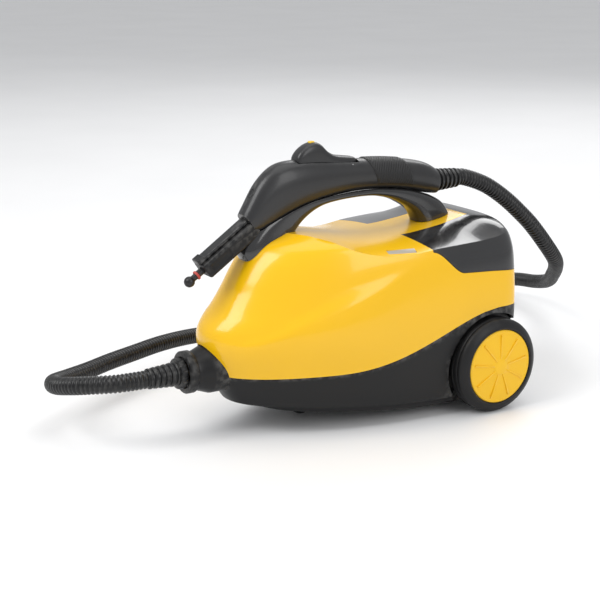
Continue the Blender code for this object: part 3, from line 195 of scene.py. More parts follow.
class ShaderKit:
    """The shader groups that several finishes share, each made once."""

    def __init__(self) -> None:
        """Build the groups."""
        self.grain = self._moulded_grain()
        self.wear = self._edge_wear()
        self.dust = self._settled_dust()
        self.brushing = self._brushing()

    @staticmethod
    def _moulded_grain():
        """Fine texture of moulded plastic and rubber, with slow changes of tone and gloss."""
        group, start, end = new_group(
            "moulded_grain",
            {"Vector": ("Vector", (0, 0, 0)), "Scale": ("Float", 900.0), "Tone": ("Float", 0.05),
             "Roughness": ("Float", 0.4), "Roughness Spread": ("Float", 0.08)},
            {"Height": "Float", "Shade": "Float", "Roughness": "Float"})
        nodes, links = group.nodes, group.links
        vector = start.outputs["Vector"]
        fine = noise(nodes, links, vector, start.outputs["Scale"], 3.0)
        slow = noise(nodes, links, vector, 14.0, 4.0, 0.4)
        smears = noise(nodes, links, vector, 45.0, 5.0, 0.8)
        links.new(fine, end.inputs["Height"])
        swing = math_node(nodes, links, "MULTIPLY", math_node(nodes, links, "SUBTRACT", slow, 0.5),
                          start.outputs["Tone"])
        links.new(math_node(nodes, links, "ADD", swing, 1.0), end.inputs["Shade"])
        patch = math_node(nodes, links, "MULTIPLY", math_node(nodes, links, "SUBTRACT", smears, 0.5),
                          start.outputs["Roughness Spread"])
        links.new(math_node(nodes, links, "ADD", patch, start.outputs["Roughness"]),
                  end.inputs["Roughness"])
        return group

    @staticmethod
    def _edge_wear():
        """Mask of the rubbed edges: where the surface is convex, broken up by noise."""
        group, start, end = new_group(
            "edge_wear", {"Vector": ("Vector", (0, 0, 0)), "Amount": ("Float", 0.3)}, {"Mask": "Float"})
        nodes, links = group.nodes, group.links
        geometry = nodes.new("ShaderNodeNewGeometry")
        convex = remap(nodes, links, geometry.outputs["Pointiness"], 0.52, 0.60, 0.0, 1.0)
        broken = remap(nodes, links, noise(nodes, links, start.outputs["Vector"], 160.0, 6.0), 0.42, 0.62,
                       0.0, 1.0)
        both = math_node(nodes, links, "MULTIPLY", convex, broken)
        links.new(math_node(nodes, links, "MULTIPLY", both, start.outputs["Amount"]), end.inputs["Mask"])
        return group

    @staticmethod
    def _settled_dust():
        """Mask of the dust that lies on faces that look up."""
        group, start, end = new_group(
            "settled_dust", {"Vector": ("Vector", (0, 0, 0)), "Amount": ("Float", 0.1)}, {"Mask": "Float"})
        nodes, links = group.nodes, group.links
        geometry = nodes.new("ShaderNodeNewGeometry")
        split = nodes.new("ShaderNodeSeparateXYZ")
        links.new(geometry.outputs["Normal"], split.inputs[0])
        upward = remap(nodes, links, split.outputs["Z"], 0.2, 0.95, 0.0, 1.0)
        clumps = remap(nodes, links, noise(nodes, links, start.outputs["Vector"], 70.0, 8.0, 0.3), 0.4, 0.75,
                       0.0, 1.0)
        both = math_node(nodes, links, "MULTIPLY", upward, clumps)
        links.new(math_node(nodes, links, "MULTIPLY", both, start.outputs["Amount"]), end.inputs["Mask"])
        return group

    @staticmethod
    def _brushing():
        """Fine lines along X on metal."""
        group, start, end = new_group(
            "brushing", {"Vector": ("Vector", (0, 0, 0)), "Roughness": ("Float", 0.3)},
            {"Height": "Float", "Roughness": "Float"})
        nodes, links = group.nodes, group.links
        stretch = nodes.new("ShaderNodeMapping")
        stretch.inputs["Scale"].default_value = (40.0, 1500.0, 1500.0)
        links.new(start.outputs["Vector"], stretch.inputs["Vector"])
        lines = noise(nodes, links, stretch.outputs["Vector"], 1.0, 4.0)
        links.new(lines, end.inputs["Height"])
        spread = math_node(nodes, links, "MULTIPLY", math_node(nodes, links, "SUBTRACT", lines, 0.5), 0.25)
        links.new(math_node(nodes, links, "ADD", spread, start.outputs["Roughness"]), end.inputs["Roughness"])
        return group


def place_group(material: bpy.types.Material, group, values: dict[str, float], vector):
    """Put a shader group into a material with its own values.

    Args:
        material: The material that takes it.
        group: The node group.
        values: Input values by socket name.
        vector: The coordinates socket.

    Returns:
        The group node.
    """
    node = material.node_tree.nodes.new("ShaderNodeGroup")
    node.node_tree = group
    for label, value in values.items():
        node.inputs[label].default_value = value
    material.node_tree.links.new(vector, node.inputs["Vector"])
    return node


@dataclass(frozen=True)
class MouldedFinish:
    """Moulded plastic or rubber: colour, gloss, grain, wear and dust."""

    name: str
    slot: str
    colour: tuple[float, float, float]
    roughness: float = 0.4
    spread: float = 0.1
    grain_scale: float = 900.0
    grain_depth: float = 0.05
    tone: float = 0.12
    coat: float = 0.0
    specular: float = 0.5
    wear: float = 0.25
    worn: tuple[float, float, float] = (0.35, 0.34, 0.32)
    dust: float = 0.08
    transmission: float = 0.0

    def make(self, kit: ShaderKit) -> bpy.types.Material:
        """Build the material.

        Args:
            kit: The shared shader groups.

        Returns:
            The finished material.
        """
        material = bpy.data.materials.new(self.name)
        material.use_nodes = True
        nodes, links = material.node_tree.nodes, material.node_tree.links
        shader = nodes["Principled BSDF"]
        shader.inputs["Coat Weight"].default_value = self.coat
        shader.inputs["Coat Roughness"].default_value = 0.06
        shader.inputs["Specular IOR Level"].default_value = self.specular
        shader.inputs["Transmission Weight"].default_value = self.transmission
        vector = nodes.new("ShaderNodeTexCoord").outputs["Object"]
        grain = place_group(material, kit.grain, {
            "Scale": self.grain_scale, "Tone": self.tone, "Roughness": self.roughness,
            "Roughness Spread": self.spread}, vector)
        wear = place_group(material, kit.wear, {"Amount": self.wear}, vector)
        dust = place_group(material, kit.dust, {"Amount": self.dust}, vector)
        shade = nodes.new("ShaderNodeVectorMath")
        shade.operation = "SCALE"
        shade.inputs[0].default_value = self.colour
        links.new(grain.outputs["Shade"], shade.inputs["Scale"])
        rubbed = blend_colour(nodes, links, wear.outputs["Mask"], shade.outputs[0], (*self.worn, 1.0))
        dusty = blend_colour(nodes, links, dust.outputs["Mask"], rubbed, (0.42, 0.40, 0.36, 1.0))
        links.new(dusty, shader.inputs["Base Color"])
        dull = math_node(nodes, links, "MULTIPLY", dust.outputs["Mask"], 0.5)
        links.new(math_node(nodes, links, "ADD", grain.outputs["Roughness"], dull),
                  shader.inputs["Roughness"])
        bump = nodes.new("ShaderNodeBump")
        bump.inputs["Strength"].default_value = self.grain_depth
        bump.inputs["Distance"].default_value = 0.0004
        links.new(grain.outputs["Height"], bump.inputs["Height"])
        links.new(bump.outputs[0], shader.inputs["Normal"])
        return material


@dataclass(frozen=True)
class MetalFinish:
    """Bare metal with fine lines, a little tarnish and dust."""

    name: str
    slot: str
    colour: tuple[float, float, float]
    roughness: float = 0.3
    tarnish: tuple[float, float, float] = (0.25, 0.24, 0.22)
    line_depth: float = 0.15
    dust: float = 0.05

    def make(self, kit: ShaderKit) -> bpy.types.Material:
        """Build the material.

        Args:
            kit: The shared shader groups.

        Returns:
            The finished material.
        """
        material = bpy.data.materials.new(self.name)
        material.use_nodes = True
        nodes, links = material.node_tree.nodes, material.node_tree.links
        shader = nodes["Principled BSDF"]
        shader.inputs["Metallic"].default_value = 1.0
        vector = nodes.new("ShaderNodeTexCoord").outputs["Object"]
        brushing = place_group(material, kit.brushing, {"Roughness": self.roughness}, vector)
        dust = place_group(material, kit.dust, {"Amount": self.dust}, vector)
        patches = remap(nodes, links, noise(nodes, links, vector, 60.0, 5.0, 0.5), 0.45, 0.8, 0.0, 0.6)
        stained = blend_colour(nodes, links, patches, (*self.colour, 1.0), (*self.tarnish, 1.0))
        links.new(blend_colour(nodes, links, dust.outputs["Mask"], stained, (0.4, 0.38, 0.35, 1.0)),
                  shader.inputs["Base Color"])
        links.new(brushing.outputs["Roughness"], shader.inputs["Roughness"])
        bump = nodes.new("ShaderNodeBump")
        bump.inputs["Strength"].default_value = self.line_depth
        bump.inputs["Distance"].default_value = 0.0002
        links.new(brushing.outputs["Height"], bump.inputs["Height"])
        links.new(bump.outputs[0], shader.inputs["Normal"])
        return material


class Finish(Enum):
    """Every finish of the machine."""

    HOOD_YELLOW = MouldedFinish("gloss_yellow_shell", "moulded_yellow", (0.86, 0.49, 0.004), 0.24, 0.07,
                                700.0, 0.02, 0.05, 0.4, 0.34, 0.12, (0.95, 0.72, 0.25), 0.01)
    HUB_YELLOW = MouldedFinish("satin_yellow_hub", "hub_yellow", (0.86, 0.50, 0.012), 0.38, 0.1, 800.0, 0.04,
                               0.06, 0.05, 0.32, 0.2, (0.9, 0.7, 0.3), 0.02)
    TUB_BLACK = MouldedFinish("satin_black_tub", "moulded_black", (0.007, 0.007, 0.0075), 0.38, 0.12, 1100.0,
                               0.09, specular=0.3, dust=0.02)
    GLOSS_BLACK = MouldedFinish("gloss_black_shell", "gloss_black", (0.014, 0.014, 0.015), 0.16, 0.06, 600.0,
                                0.015, 0.1, 0.5, 0.55, 0.12, (0.25, 0.25, 0.25), 0.05)
    GUN_GREY = MouldedFinish("satin_grey_gun", "gun_grey", (0.020, 0.020, 0.021), 0.33, 0.1, 1000.0, 0.06,
                             0.1,
                              0.1, 0.42, dust=0.02)
    DARK_PLASTIC = MouldedFinish("satin_dark_fitting", "switch_black", (0.012, 0.012, 0.0125), 0.3, 0.1,
                                 900.0, 0.05, specular=0.42, dust=0.02)
    CAP_GREY = MouldedFinish("cap_stem_grey", "cap_grey", (0.22, 0.22, 0.23), 0.45)
    GRIP = MouldedFinish("soft_grip", "grip_rubber", (0.010, 0.010, 0.0105), 0.5, 0.12, 1500.0, 0.2, 0.2,
                         0.0, 0.4,
                          dust=0.02)
    HOSE = MouldedFinish("hose_black", "hose_rubber", (0.006, 0.006, 0.0065), 0.34, 0.12, 1200.0, 0.08, 0.15,
                         0.05,
                          0.36, dust=0.02)
    SEAL = MouldedFinish("seal_black", "seal_rubber", (0.02, 0.02, 0.02), 0.7, 0.15, 1600.0, 0.2)
    RED_SEAL = MouldedFinish("seal_red", "seal_red", (0.5, 0.045, 0.03), 0.45, 0.1, 1200.0, 0.1)
    TYRE = MouldedFinish("tyre_black", "tyre_rubber", (0.008, 0.008, 0.0085), 0.46, 0.14, 1400.0, 0.12, 0.2,
                         0.0, 0.3, 0.3, (0.05, 0.048, 0.046), 0.04)
    MARK = MouldedFinish("mark_yellow", "mark_yellow", (0.85, 0.55, 0.02), 0.35)
    GREEN_LENS = MouldedFinish("lens_green", "lens_green", (0.05, 0.35, 0.09), 0.12, 0.05, 500.0, 0.01,
                               coat=0.6, transmission=0.35)
    ORANGE_LENS = MouldedFinish("lens_orange", "lens_orange", (0.75, 0.25, 0.02), 0.12, 0.05, 500.0, 0.01,
                                coat=0.6, transmission=0.35)
    BADGE = MouldedFinish("badge_grey", "badge_grey", (0.36, 0.32, 0.26), 0.3, 0.08, 1200.0, 0.05, coat=0.3)
    STEEL = MetalFinish("brushed_steel", "steel", (0.56, 0.56, 0.57))
    BOILER = MetalFinish("boiler_steel", "boiler_steel", (0.6, 0.6, 0.6), 0.35)
    BRASS = MetalFinish("turned_brass", "brass", (0.66, 0.47, 0.2), 0.3, (0.3, 0.2, 0.08))
    COPPER = MetalFinish("drawn_copper", "copper", (0.7, 0.38, 0.24), 0.3, (0.3, 0.14, 0.08))


class Palette:
    """Makes each finish once and hands it out."""

    def __init__(self) -> None:
        """Start with the shared groups and no materials."""
        self.kit = ShaderKit()
        self.made: dict[Finish, bpy.types.Material] = {}

    def material(self, finish: Finish) -> bpy.types.Material:
        """Return the finish's material, making it the first time."""
        if finish not in self.made:
            self.made[finish] = finish.value.make(self.kit)
        return self.made[finish]

    def dress(self, piece: bpy.types.Object, finish: Finish, body: str, *stands_for: str) -> bpy.types.Object:
        """Give a piece its finish, its body and the CAD nodes that it stands for.

        Args:
            piece: The finished piece.
            finish: Its finish.
            body: The CAD body that it rides on.
            stands_for: CAD nodes that it replaces.

        Returns:
            The piece.
        """
        piece.data.materials.clear()
        piece.data.materials.append(self.material(finish))
        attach(piece, body)
        if stands_for:
            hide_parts(*stands_for)
        log.info("%s: %d faces on %s", piece.name, len(getattr(piece.data, "polygons", ())), body)
        return piece

    def dress_nodes(self, finish: Finish, *nodes: str) -> None:
        """Give CAD nodes that stay a finish of their own."""
        for name in nodes:
            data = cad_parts[name].data
            data.materials.clear()
            data.materials.append(self.material(finish))
            log.info("%s keeps its CAD mesh", name)


# --- modelling helpers ----------------------------------------------------------


def clear_selection() -> None:
    """Leave nothing selected, so that an operator acts on the new piece alone."""
    if bpy.context.mode != "OBJECT":
        bpy.ops.object.mode_set(mode="OBJECT")
    bpy.ops.object.select_all(action="DESELECT")


def activate(piece: bpy.types.Object) -> bpy.types.Object:
    """Select one piece and make it the active one."""
    clear_selection()
    piece.select_set(True)
    bpy.context.view_layer.objects.active = piece
    return piece


def settle(piece: bpy.types.Object) -> bpy.types.Object:
    """Move a piece's place, turn and scale into its mesh."""
    activate(piece)
    bpy.ops.object.transform_apply(location=True, rotation=True, scale=True)
    return piece


def smooth(piece: bpy.types.Object, degrees: float = 32.0) -> bpy.types.Object:
    """Shade a piece smooth up to an angle."""
    activate(piece)
    bpy.ops.object.shade_smooth_by_angle(angle=math.radians(degrees))
    return piece


def outward(piece: bpy.types.Object, gap: float = 2e-5) -> bpy.types.Object:
    """Merge doubles and turn every face of a closed piece outwards.

    Args:
        piece: The closed piece.
        gap: Points nearer than this become one.

    Returns:
        The piece.
    """
    activate(piece)
    bpy.ops.object.mode_set(mode="EDIT")
    bpy.ops.mesh.select_all(action="SELECT")
    bpy.ops.mesh.remove_doubles(threshold=gap)
    bpy.ops.mesh.normals_make_consistent(inside=False)
    bpy.ops.object.mode_set(mode="OBJECT")
    return piece


def lathe(name: str, profile: Sequence[Pair], steps: int, axis: Axis, place: Sequence[float],
          degrees: float = 32.0) -> bpy.types.Object:
    """Turn a piece: a circle is extruded and resized ring by ring along a profile.

    Args:
        name: The piece's name.
        profile: (radius, height) pairs; a radius of 0 closes on the axis, otherwise it closes on itself.
        steps: Points round the piece.
        axis: The axis that heights count along.
        place: Where the profile's origin lies.
        degrees: Edges sharper than this stay sharp.

    Returns:
        The turned piece, at the world origin.
    """
    tip = 4e-6
    rings = [(max(radius, tip), height) for radius, height in profile]
    if profile[0][0] > 0:
        rings.append(rings[0])
    clear_selection()
    bpy.ops.mesh.primitive_circle_add(vertices=steps, radius=rings[0][0], location=(0, 0, rings[0][1]))
    piece = bpy.context.object
    piece.name = piece.data.name = name
    bpy.ops.object.transform_apply(location=True)
    bpy.ops.object.mode_set(mode="EDIT")
    bpy.ops.mesh.select_all(action="SELECT")
    for (radius, height), (next_radius, next_height) in zip(rings, rings[1:]):
        bpy.ops.mesh.extrude_edges_move()
        bpy.ops.transform.translate(value=(0, 0, next_height - height))
        scale = next_radius / radius
        bpy.ops.transform.resize(value=(scale, scale, 1), center_override=(0, 0, next_height))
    bpy.ops.object.mode_set(mode="OBJECT")
    outward(piece)
    piece.rotation_euler = axis.value
    piece.location = place
    return smooth(settle(piece), degrees)


def drill(name: str, radius: float, low: float, high: float, axis: Axis, place: Sequence[float],
          steps: int = 48) -> bpy.types.Object:
    """Turn a plain round cutter.

    Args:
        name: The cutter's name.
        radius: Radius of the hole.
        low: Where it starts along its axis.
        high: Where it ends.
        axis: The hole's axis.
        place: Where the axis' zero lies.
        steps: Points round it.

    Returns:
        The cutter.
    """
    return lathe(name, [(0, low), (radius, low), (radius, high), (0, high)], steps, axis, place)


def block(name: str, low: Sequence[float], high: Sequence[float], radius: float = 0.0,
          segments: int = 3) -> bpy.types.Object:
    """Model a block with rounded edges from a cube.

    Args:
        name: The block's name.
        low: Its lowest corner.
        high: Its highest corner.
        radius: Radius of the edges, or 0 for sharp ones.
        segments: Faces across a rounded edge.

    Returns:
        The block, at the world origin.
    """
    low, high = Vector(low), Vector(high)
    clear_selection()
    bpy.ops.mesh.primitive_cube_add(size=1.0, location=(low + high) / 2)
    piece = bpy.context.object
    piece.name = piece.data.name = name
    piece.scale = high - low
    settle(piece)
    if radius:
        bpy.ops.object.mode_set(mode="EDIT")
        bpy.ops.mesh.select_all(action="SELECT")
        bpy.ops.mesh.bevel(offset=radius, offset_type="OFFSET", segments=segments, affect="EDGES")
        bpy.ops.object.mode_set(mode="OBJECT")
    return smooth(piece)


def skin(name: str, rings: Sequence[Sequence[Vector]], closed: bool = True,
         degrees: float = 32.0) -> bpy.types.Object:
    """Skin a free-form shell over rings of points, closing both ends on their middle.

    Args:
        name: The piece's name.
        rings: Rings that all have the same number of points.
        closed: Whether the end rings are capped.
        degrees: Edges sharper than this stay sharp.

    Returns:
        The skinned piece.
    """
    shell = bmesh.new()
    loops = [[shell.verts.new(point) for point in ring] for ring in rings]
    count = len(loops[0])
    for near, far in zip(loops, loops[1:]):
        for i in range(count):
            j = (i + 1) % count
            shell.faces.new((near[i], near[j], far[j], far[i]))
    if closed:
        for loop in (loops[0], loops[-1]):
            middle = shell.verts.new(sum((v.co for v in loop), Vector()) / count)
            for i in range(count):
                shell.faces.new((loop[i], loop[(i + 1) % count], middle))
    bmesh.ops.remove_doubles(shell, verts=shell.verts, dist=1e-6)
    bmesh.ops.dissolve_degenerate(shell, edges=shell.edges, dist=1e-7)
    mesh = bpy.data.meshes.new(name)
    bmesh.ops.recalc_face_normals(shell, faces=shell.faces)
    shell.to_mesh(mesh)
    shell.free()
    piece = bpy.data.objects.new(name, mesh)
    bpy.context.scene.collection.objects.link(piece)
    return smooth(piece, degrees)


def carve(piece: bpy.types.Object, cutter: bpy.types.Object, how: Cut = Cut.REMOVE,
          keep_cutter: bool = False, degrees: float = 32.0) -> bpy.types.Object:
    """Apply a Boolean of a cutter and throw the cutter away.

    Args:
        piece: The piece that is cut.
        cutter: The closed cutter.
        how: What the cutter does.
        keep_cutter: Whether the cutter is used again.
        degrees: Edges sharper than this stay sharp.

    Returns:
        The piece.
    """
    modifier = piece.modifiers.new("carve", "BOOLEAN")
    modifier.operation = how.value
    modifier.solver = "MANIFOLD"
    modifier.object = cutter
    activate(piece)
    bpy.ops.object.modifier_apply(modifier=modifier.name)
    if not piece.data.polygons:
        raise RuntimeError(f"{piece.name} has vanished under {cutter.name}")
    if not keep_cutter:
        bpy.data.objects.remove(cutter, do_unlink=True)
    return smooth(piece, degrees)


def curve_through(points: Sequence[Pair]) -> Callable[[float], float]:
    """Return a function that passes through the points, smooth and without overshoot.

    Args:
        points: (x, y) pairs with rising x.

    Returns:
        The function y(x), held at its end values outside the points.
    """
    xs, ys = [p[0] for p in points], [p[1] for p in points]
    steps = [(ys[i + 1] - ys[i]) / (xs[i + 1] - xs[i]) for i in range(len(xs) - 1)]
    inner = [0.0 if a * b <= 0 else (a + b) / 2 for a, b in zip(steps, steps[1:])]
    slopes = [steps[0], *inner, steps[-1]]

    def value(x: float) -> float:
        """The curve's height at x."""
        x = min(max(x, xs[0]), xs[-1])
        i = max(k for k in range(len(xs) - 1) if xs[k] <= x)
        h = xs[i + 1] - xs[i]
        s = (x - xs[i]) / h
        return ((2 * s**3 - 3 * s**2 + 1) * ys[i] + (s**3 - 2 * s**2 + s) * h * slopes[i]
                + (3 * s**2 - 2 * s**3) * ys[i + 1] + (s**3 - s**2) * h * slopes[i + 1])

    return value


def spline(points: Sequence[Sequence[float]], pieces: int) -> list[tuple[float, ...]]:
    """Fill in a Catmull-Rom spline through points of any dimension.

    Args:
        points: The points it passes through.
        pieces: Steps from each point to the next.

    Returns:
        The filled-in points.
    """
    ends = [points[0], *points, points[-1]]
    filled = []
    for a, b, c, d in zip(ends, ends[1:], ends[2:], ends[3:]):
        for k in range(pieces):
            t = k / pieces
            filled.append(tuple(
                0.5 * (2 * q + (r - p) * t + (2 * p - 5 * q + 4 * r - s) * t**2
                       + (3 * q - p - 3 * r + s) * t**3)
                for p, q, r, s in zip(a, b, c, d)))
    return filled + [tuple(points[-1])]


def mix(a: float, b: float, t: float) -> float:
    """The value a share t of the way from a to b."""
    return a + (b - a) * t


def ease(t: float) -> float:
    """A smooth step from 0 to 1."""
    t = min(max(t, 0.0), 1.0)
    return t * t * (3 - 2 * t)


def power(value: float, exponent: float) -> float:
    """A signed power, for rounded sections."""
    return math.copysign(abs(value) ** exponent, value)


def section(low: Pair, high: Pair, half_width: float, squareness: float, count: int) -> list[Vector]:
    """A rounded cross-section between its bottom and top middle points.

    Args:
        low: (y, z) of the bottom.
        high: (y, z) of the top.
        half_width: Half its width along X.
        squareness: 2 is an ellipse, more is squarer.
        count: Points round it.

    Returns:
        The points of the ring.
    """
    bottom, top = Vector((0, *low)), Vector((0, *high))
    centre, rise = (bottom + top) / 2, (top - bottom) / 2
    ring = []
    for i in range(count):
        angle = math.tau * i / count
        across = Vector((half_width * power(math.cos(angle), 2 / squareness), 0, 0))
        ring.append(centre + rise * power(math.sin(angle), 2 / squareness) + across)
    return ring


# --- camera, floor and light -----------------------------------------------------


@dataclass
class Studio:
    """Camera, floor, backdrop and soft lights."""

    eye: tuple[float, float, float] = (1.278, -0.843, 0.543)
    aim: tuple[float, float, float] = (-0.069, -0.006, 0.112)
    lens_mm: float = 83.0
    sensor_mm: float = 36.0
    floor_half: float = 60.0
    lights: list[tuple] = field(default_factory=lambda: [
        ("key_light", (-0.2, -2.2, 2.4), (1.6, 1.6), 46.0),
        ("side_light", (2.3, 0.5, 1.5), (1.2, 1.8), 20.0),
        ("rear_light", (-1.6, 2.0, 2.0), (1.8, 1.2), 22.0),
        ("top_light", (0.1, 0.1, 2.6), (2.2, 2.2), 20.0)])

    def place_camera(self) -> None:
        """Set the camera at its eye point, looking at its aim."""
        data = bpy.data.cameras.new("camera")
        data.sensor_width = self.sensor_mm
        data.lens = self.lens_mm
        camera = bpy.data.objects.new("camera", data)
        bpy.context.scene.collection.objects.link(camera)
        camera.location = self.eye
        sight = Vector(self.aim) - Vector(self.eye)
        camera.rotation_euler = sight.to_track_quat("-Z", "Y").to_euler()
        bpy.context.scene.camera = camera

    def light_up(self) -> None:
        """Add the soft lights and the pale surroundings."""
        for name, place, size, power_watts in self.lights:
            data = bpy.data.lights.new(name, "AREA")
            data.shape = "RECTANGLE"
            data.size, data.size_y = size
            data.energy = power_watts
            lamp = bpy.data.objects.new(name, data)
            bpy.context.scene.collection.objects.link(lamp)
            lamp.location = place
            lamp.rotation_euler = (Vector((0, 0, 0.1)) - Vector(place)).to_track_quat("-Z", "Y").to_euler()
        world = bpy.data.worlds.new("surroundings")
        world.use_nodes = True
        world.node_tree.nodes["Background"].inputs["Color"].default_value = (0.93, 0.94, 0.96, 1.0)
        world.node_tree.nodes["Background"].inputs["Strength"].default_value = 0.62
        bpy.context.scene.world = world
        bpy.context.scene.view_settings.view_transform = "Standard"

    def lay_floor(self) -> None:
        """Lay a plain pale floor."""
        clear_selection()
        bpy.ops.mesh.primitive_plane_add(size=2 * self.floor_half, location=(0, 0, -0.0002))
        floor = settle(bpy.context.object)
        floor.name = "floor"
        material = bpy.data.materials.new("pale_floor")
        material.use_nodes = True
        nodes, links = material.node_tree.nodes, material.node_tree.links
        vector = nodes.new("ShaderNodeTexCoord").outputs["Object"]
        tone = remap(nodes, links, noise(nodes, links, vector, 3.0, 3.0), 0.2, 0.8, 0.84, 0.88)
        paint = nodes.new("ShaderNodeVectorMath")
        paint.operation = "SCALE"
        paint.inputs[0].default_value = (1.0, 1.0, 1.0)
        links.new(tone, paint.inputs["Scale"])
        links.new(paint.outputs[0], nodes["Principled BSDF"].inputs["Base Color"])
        nodes["Principled BSDF"].inputs["Roughness"].default_value = 0.55
        floor.data.materials.append(material)


# --- body --------------------------------------------------------------------------


@dataclass
class BodyForm:
    """The free-form outline of the body, from which hood, tub and lid are cut."""

    nose_reach: float = 0.321
    tail_reach: float = 0.045
    half_width: float = 0.1065
    crest: float = 0.217
    clearance: float = 0.010
    nose_rise: float = 0.013
    axle_y: float = 0.146
    seam_at_nose: float = 0.068
    seam_at_tail: float = 0.121
    widest_y: float = -0.015
    wall: float = 0.0026
    stations: int = 144

    def __post_init__(self) -> None:
        """Prepare the curves of the form, all as shares of the reach and of the crest."""
        self.front = curve_through([
            (0.04, 0.816), (0.11, 0.88), (0.23, 0.937), (0.35, 0.974), (0.48, 1.0), (0.54, 0.994),
                                    (0.59, 0.972),
            (0.64, 0.942), (0.72, 0.904), (0.81, 0.867), (0.90, 0.822), (0.96, 0.772), (1.0, 0.70)])
        self.breadth = curve_through([(0.03, 0.885), (0.09, 0.93), (0.23, 0.96), (0.37, 0.988), (0.55, 1.0),
                                      (0.76, 0.967), (0.88, 0.93), (0.95, 0.885), (1.0, 0.80)])
        self.tail = curve_through([(0.0, 0.90), (0.2, 1.0), (0.76, 1.0), (0.88, 0.95), (0.95, 0.82),
                                   (1.0, 0.62)])
        self.shoulder = curve_through([
            (-0.74, 1.0), (-0.65, 0.998), (-0.587, 0.968), (-0.52, 0.926), (-0.44, 0.899), (-0.34, 0.894),
            (-0.24, 0.908), (-0.12, 0.917), (0.0, 0.926), (0.13, 0.955)])
        self.ridge = curve_through([
            (-0.74, 1.0), (-0.65, 1.0), (-0.54, 0.978), (-0.44, 0.953), (-0.35, 0.94), (-0.25, 0.938),
            (-0.14, 0.952), (-0.03, 0.975), (0.06, 0.998), (0.13, 0.99)])
        self.crease = curve_through([(-1.0, 0.55), (-0.92, 0.535), (-0.85, 0.562), (-0.73, 0.645),
                                     (-0.58, 0.733), (-0.45, 0.80), (-0.35, 0.857), (-0.26, 0.894)])

    def seam(self, y: float) -> float:
        """Height of the joint line between tub and hood at y."""
        climb = ease(max(0.0, (y / self.nose_reach + 0.635) / 0.665) ** 1.25)
        return mix(self.seam_at_nose, self.seam_at_tail, climb)

    def underside(self, y: float) -> float:
        """Height of the bottom at y."""
        return self.clearance + self.nose_rise * ease((-y / self.nose_reach - 0.15) / 0.85)

    def outline(self, angle: float, height: float, inset: float) -> Pair:
        """A point of the plan outline at a height.

        Args:
            angle: 0 is the nose and pi the tail.
            height: Height over the floor.
            inset: How far inside the form.

        Returns:
            x and y from the axle.
        """
        level = height / self.crest
        half = self.half_width * self.breadth(level) - inset
        sine, cosine = math.sin(angle), math.cos(angle)
        if cosine >= 0:
            reach = -self.nose_reach * self.front(level) + inset
            return half * power(sine, 2 / 2.15), mix(self.widest_y, reach, cosine)
        reach = self.tail_reach * self.tail(level) - inset
        return half * power(sine, 2 / 6), mix(self.widest_y, reach, abs(cosine) ** (2 / 6))

    def waist(self, y: float, height: float) -> float:
        """How far the flank stands proud below the waist crease."""
        along = ease((-y / self.nose_reach - 0.3) / 0.3) * ease((1.02 + y / self.nose_reach) / 0.14)
        below = ease((self.crease(y / self.nose_reach) - height / self.crest) / 0.05)
        return 0.0042 * along * below * ease((height / self.crest - 0.30) / 0.2)

    def flank(self, angle: float, level: float, inset: float, low: Callable[[float], float],
              high: Callable[[float], float]) -> Vector:
        """A point on the flank.

        Args:
            angle: 0 is the nose and pi the tail.
            level: 0 is the low line and 1 the high line.
            inset: How far inside the form.
            low: Height of the low line over y.
            high: Height of the high line over y.

        Returns:
            The point, from the axle.
        """
        height = mix(low(0), high(0), level)
        x = y = 0.0
        for _ in range(10):
            x, y = self.outline(angle, height, inset)
            height = mix(low(y), high(y), level)
        step = self.waist(y, height)
        reach = math.hypot(x / self.half_width, y / self.nose_reach) or 1.0
        x += step * x / self.half_width / reach
        y += step * min(0.0, y / self.nose_reach) / reach * 0.4
        return Vector((x, y, height))

    def deck(self, x: float, y: float, edge: float) -> float:
        """Height of the top at (x, y), whose shoulder lies at x = edge."""
        crown = mix(2.2, 6.0, ease((y / self.nose_reach + 0.1) / 0.18))
        share = min(abs(x / edge), 1.0) ** crown if abs(edge) > 1e-9 else 1.0
        along = y / self.nose_reach
        return self.crest * mix(self.ridge(along), self.shoulder(along), share)

    def angles(self) -> list[float]:
        """The stations round the plan."""
        return [math.tau * i / self.stations for i in range(self.stations)]

    def at_world(self, rings: list[list[Vector]]) -> list[list[Vector]]:
        """Shift rings from the axle to the world."""
        return [[point + Vector((0, self.axle_y, 0)) for point in ring] for ring in rings]

    def upper(self, name: str, inset: float = 0.0, levels: int = 60, deck_rings: int = 14,
              drop: float = 0.0) -> bpy.types.Object:
        """Skin the closed volume above the seam.

        Args:
            name: The piece's name.
            inset: How far inside the form.
            levels: Rings up the flank.
            deck_rings: Rings from the shoulder to the ridge.
            drop: How far it reaches below the seam.

        Returns:
            The volume.
        """
        def low(y: float) -> float:
            """The low line."""
            return self.seam(y) - drop

        def high(y: float) -> float:
            """The shoulder line."""
            return self.crest * self.shoulder(y / self.nose_reach)

        rings = [[self.flank(a, k / (levels - 1), inset, low,
                             high) for a in self.angles()] for k in range(levels)]
        rings.insert(0, [Vector((0, p.y, p.z)) for p in rings[0]])
        rim = rings[-1]
        for k in range(1, deck_rings + 1):
            narrow = 1 - k / deck_rings
            sink = inset * ease(k / deck_rings * 3)
            rings.append([Vector((p.x * narrow, p.y, self.deck(p.x * narrow, p.y, p.x) - sink)) for p in rim])
        return skin(name, self.at_world(rings), closed=False, degrees=28)

    def lower(self, name: str, inset: float = 0.0, rise: float = 0.0) -> bpy.types.Object:
        """Skin the closed volume below the seam, with a rounded bottom edge.

        Args:
            name: The piece's name.
            inset: How far inside the form.
            rise: How far it reaches above the seam.

        Returns:
            The volume.
        """
        def bottom(y: float) -> float:
            """The underside."""
            return self.underside(y) + inset

        def flank_start(y: float) -> float:
            """The top of the rounded edge."""
            return bottom(y) + 0.012

        def top(y: float) -> float:
            """The high line."""
            return self.seam(y) + rise

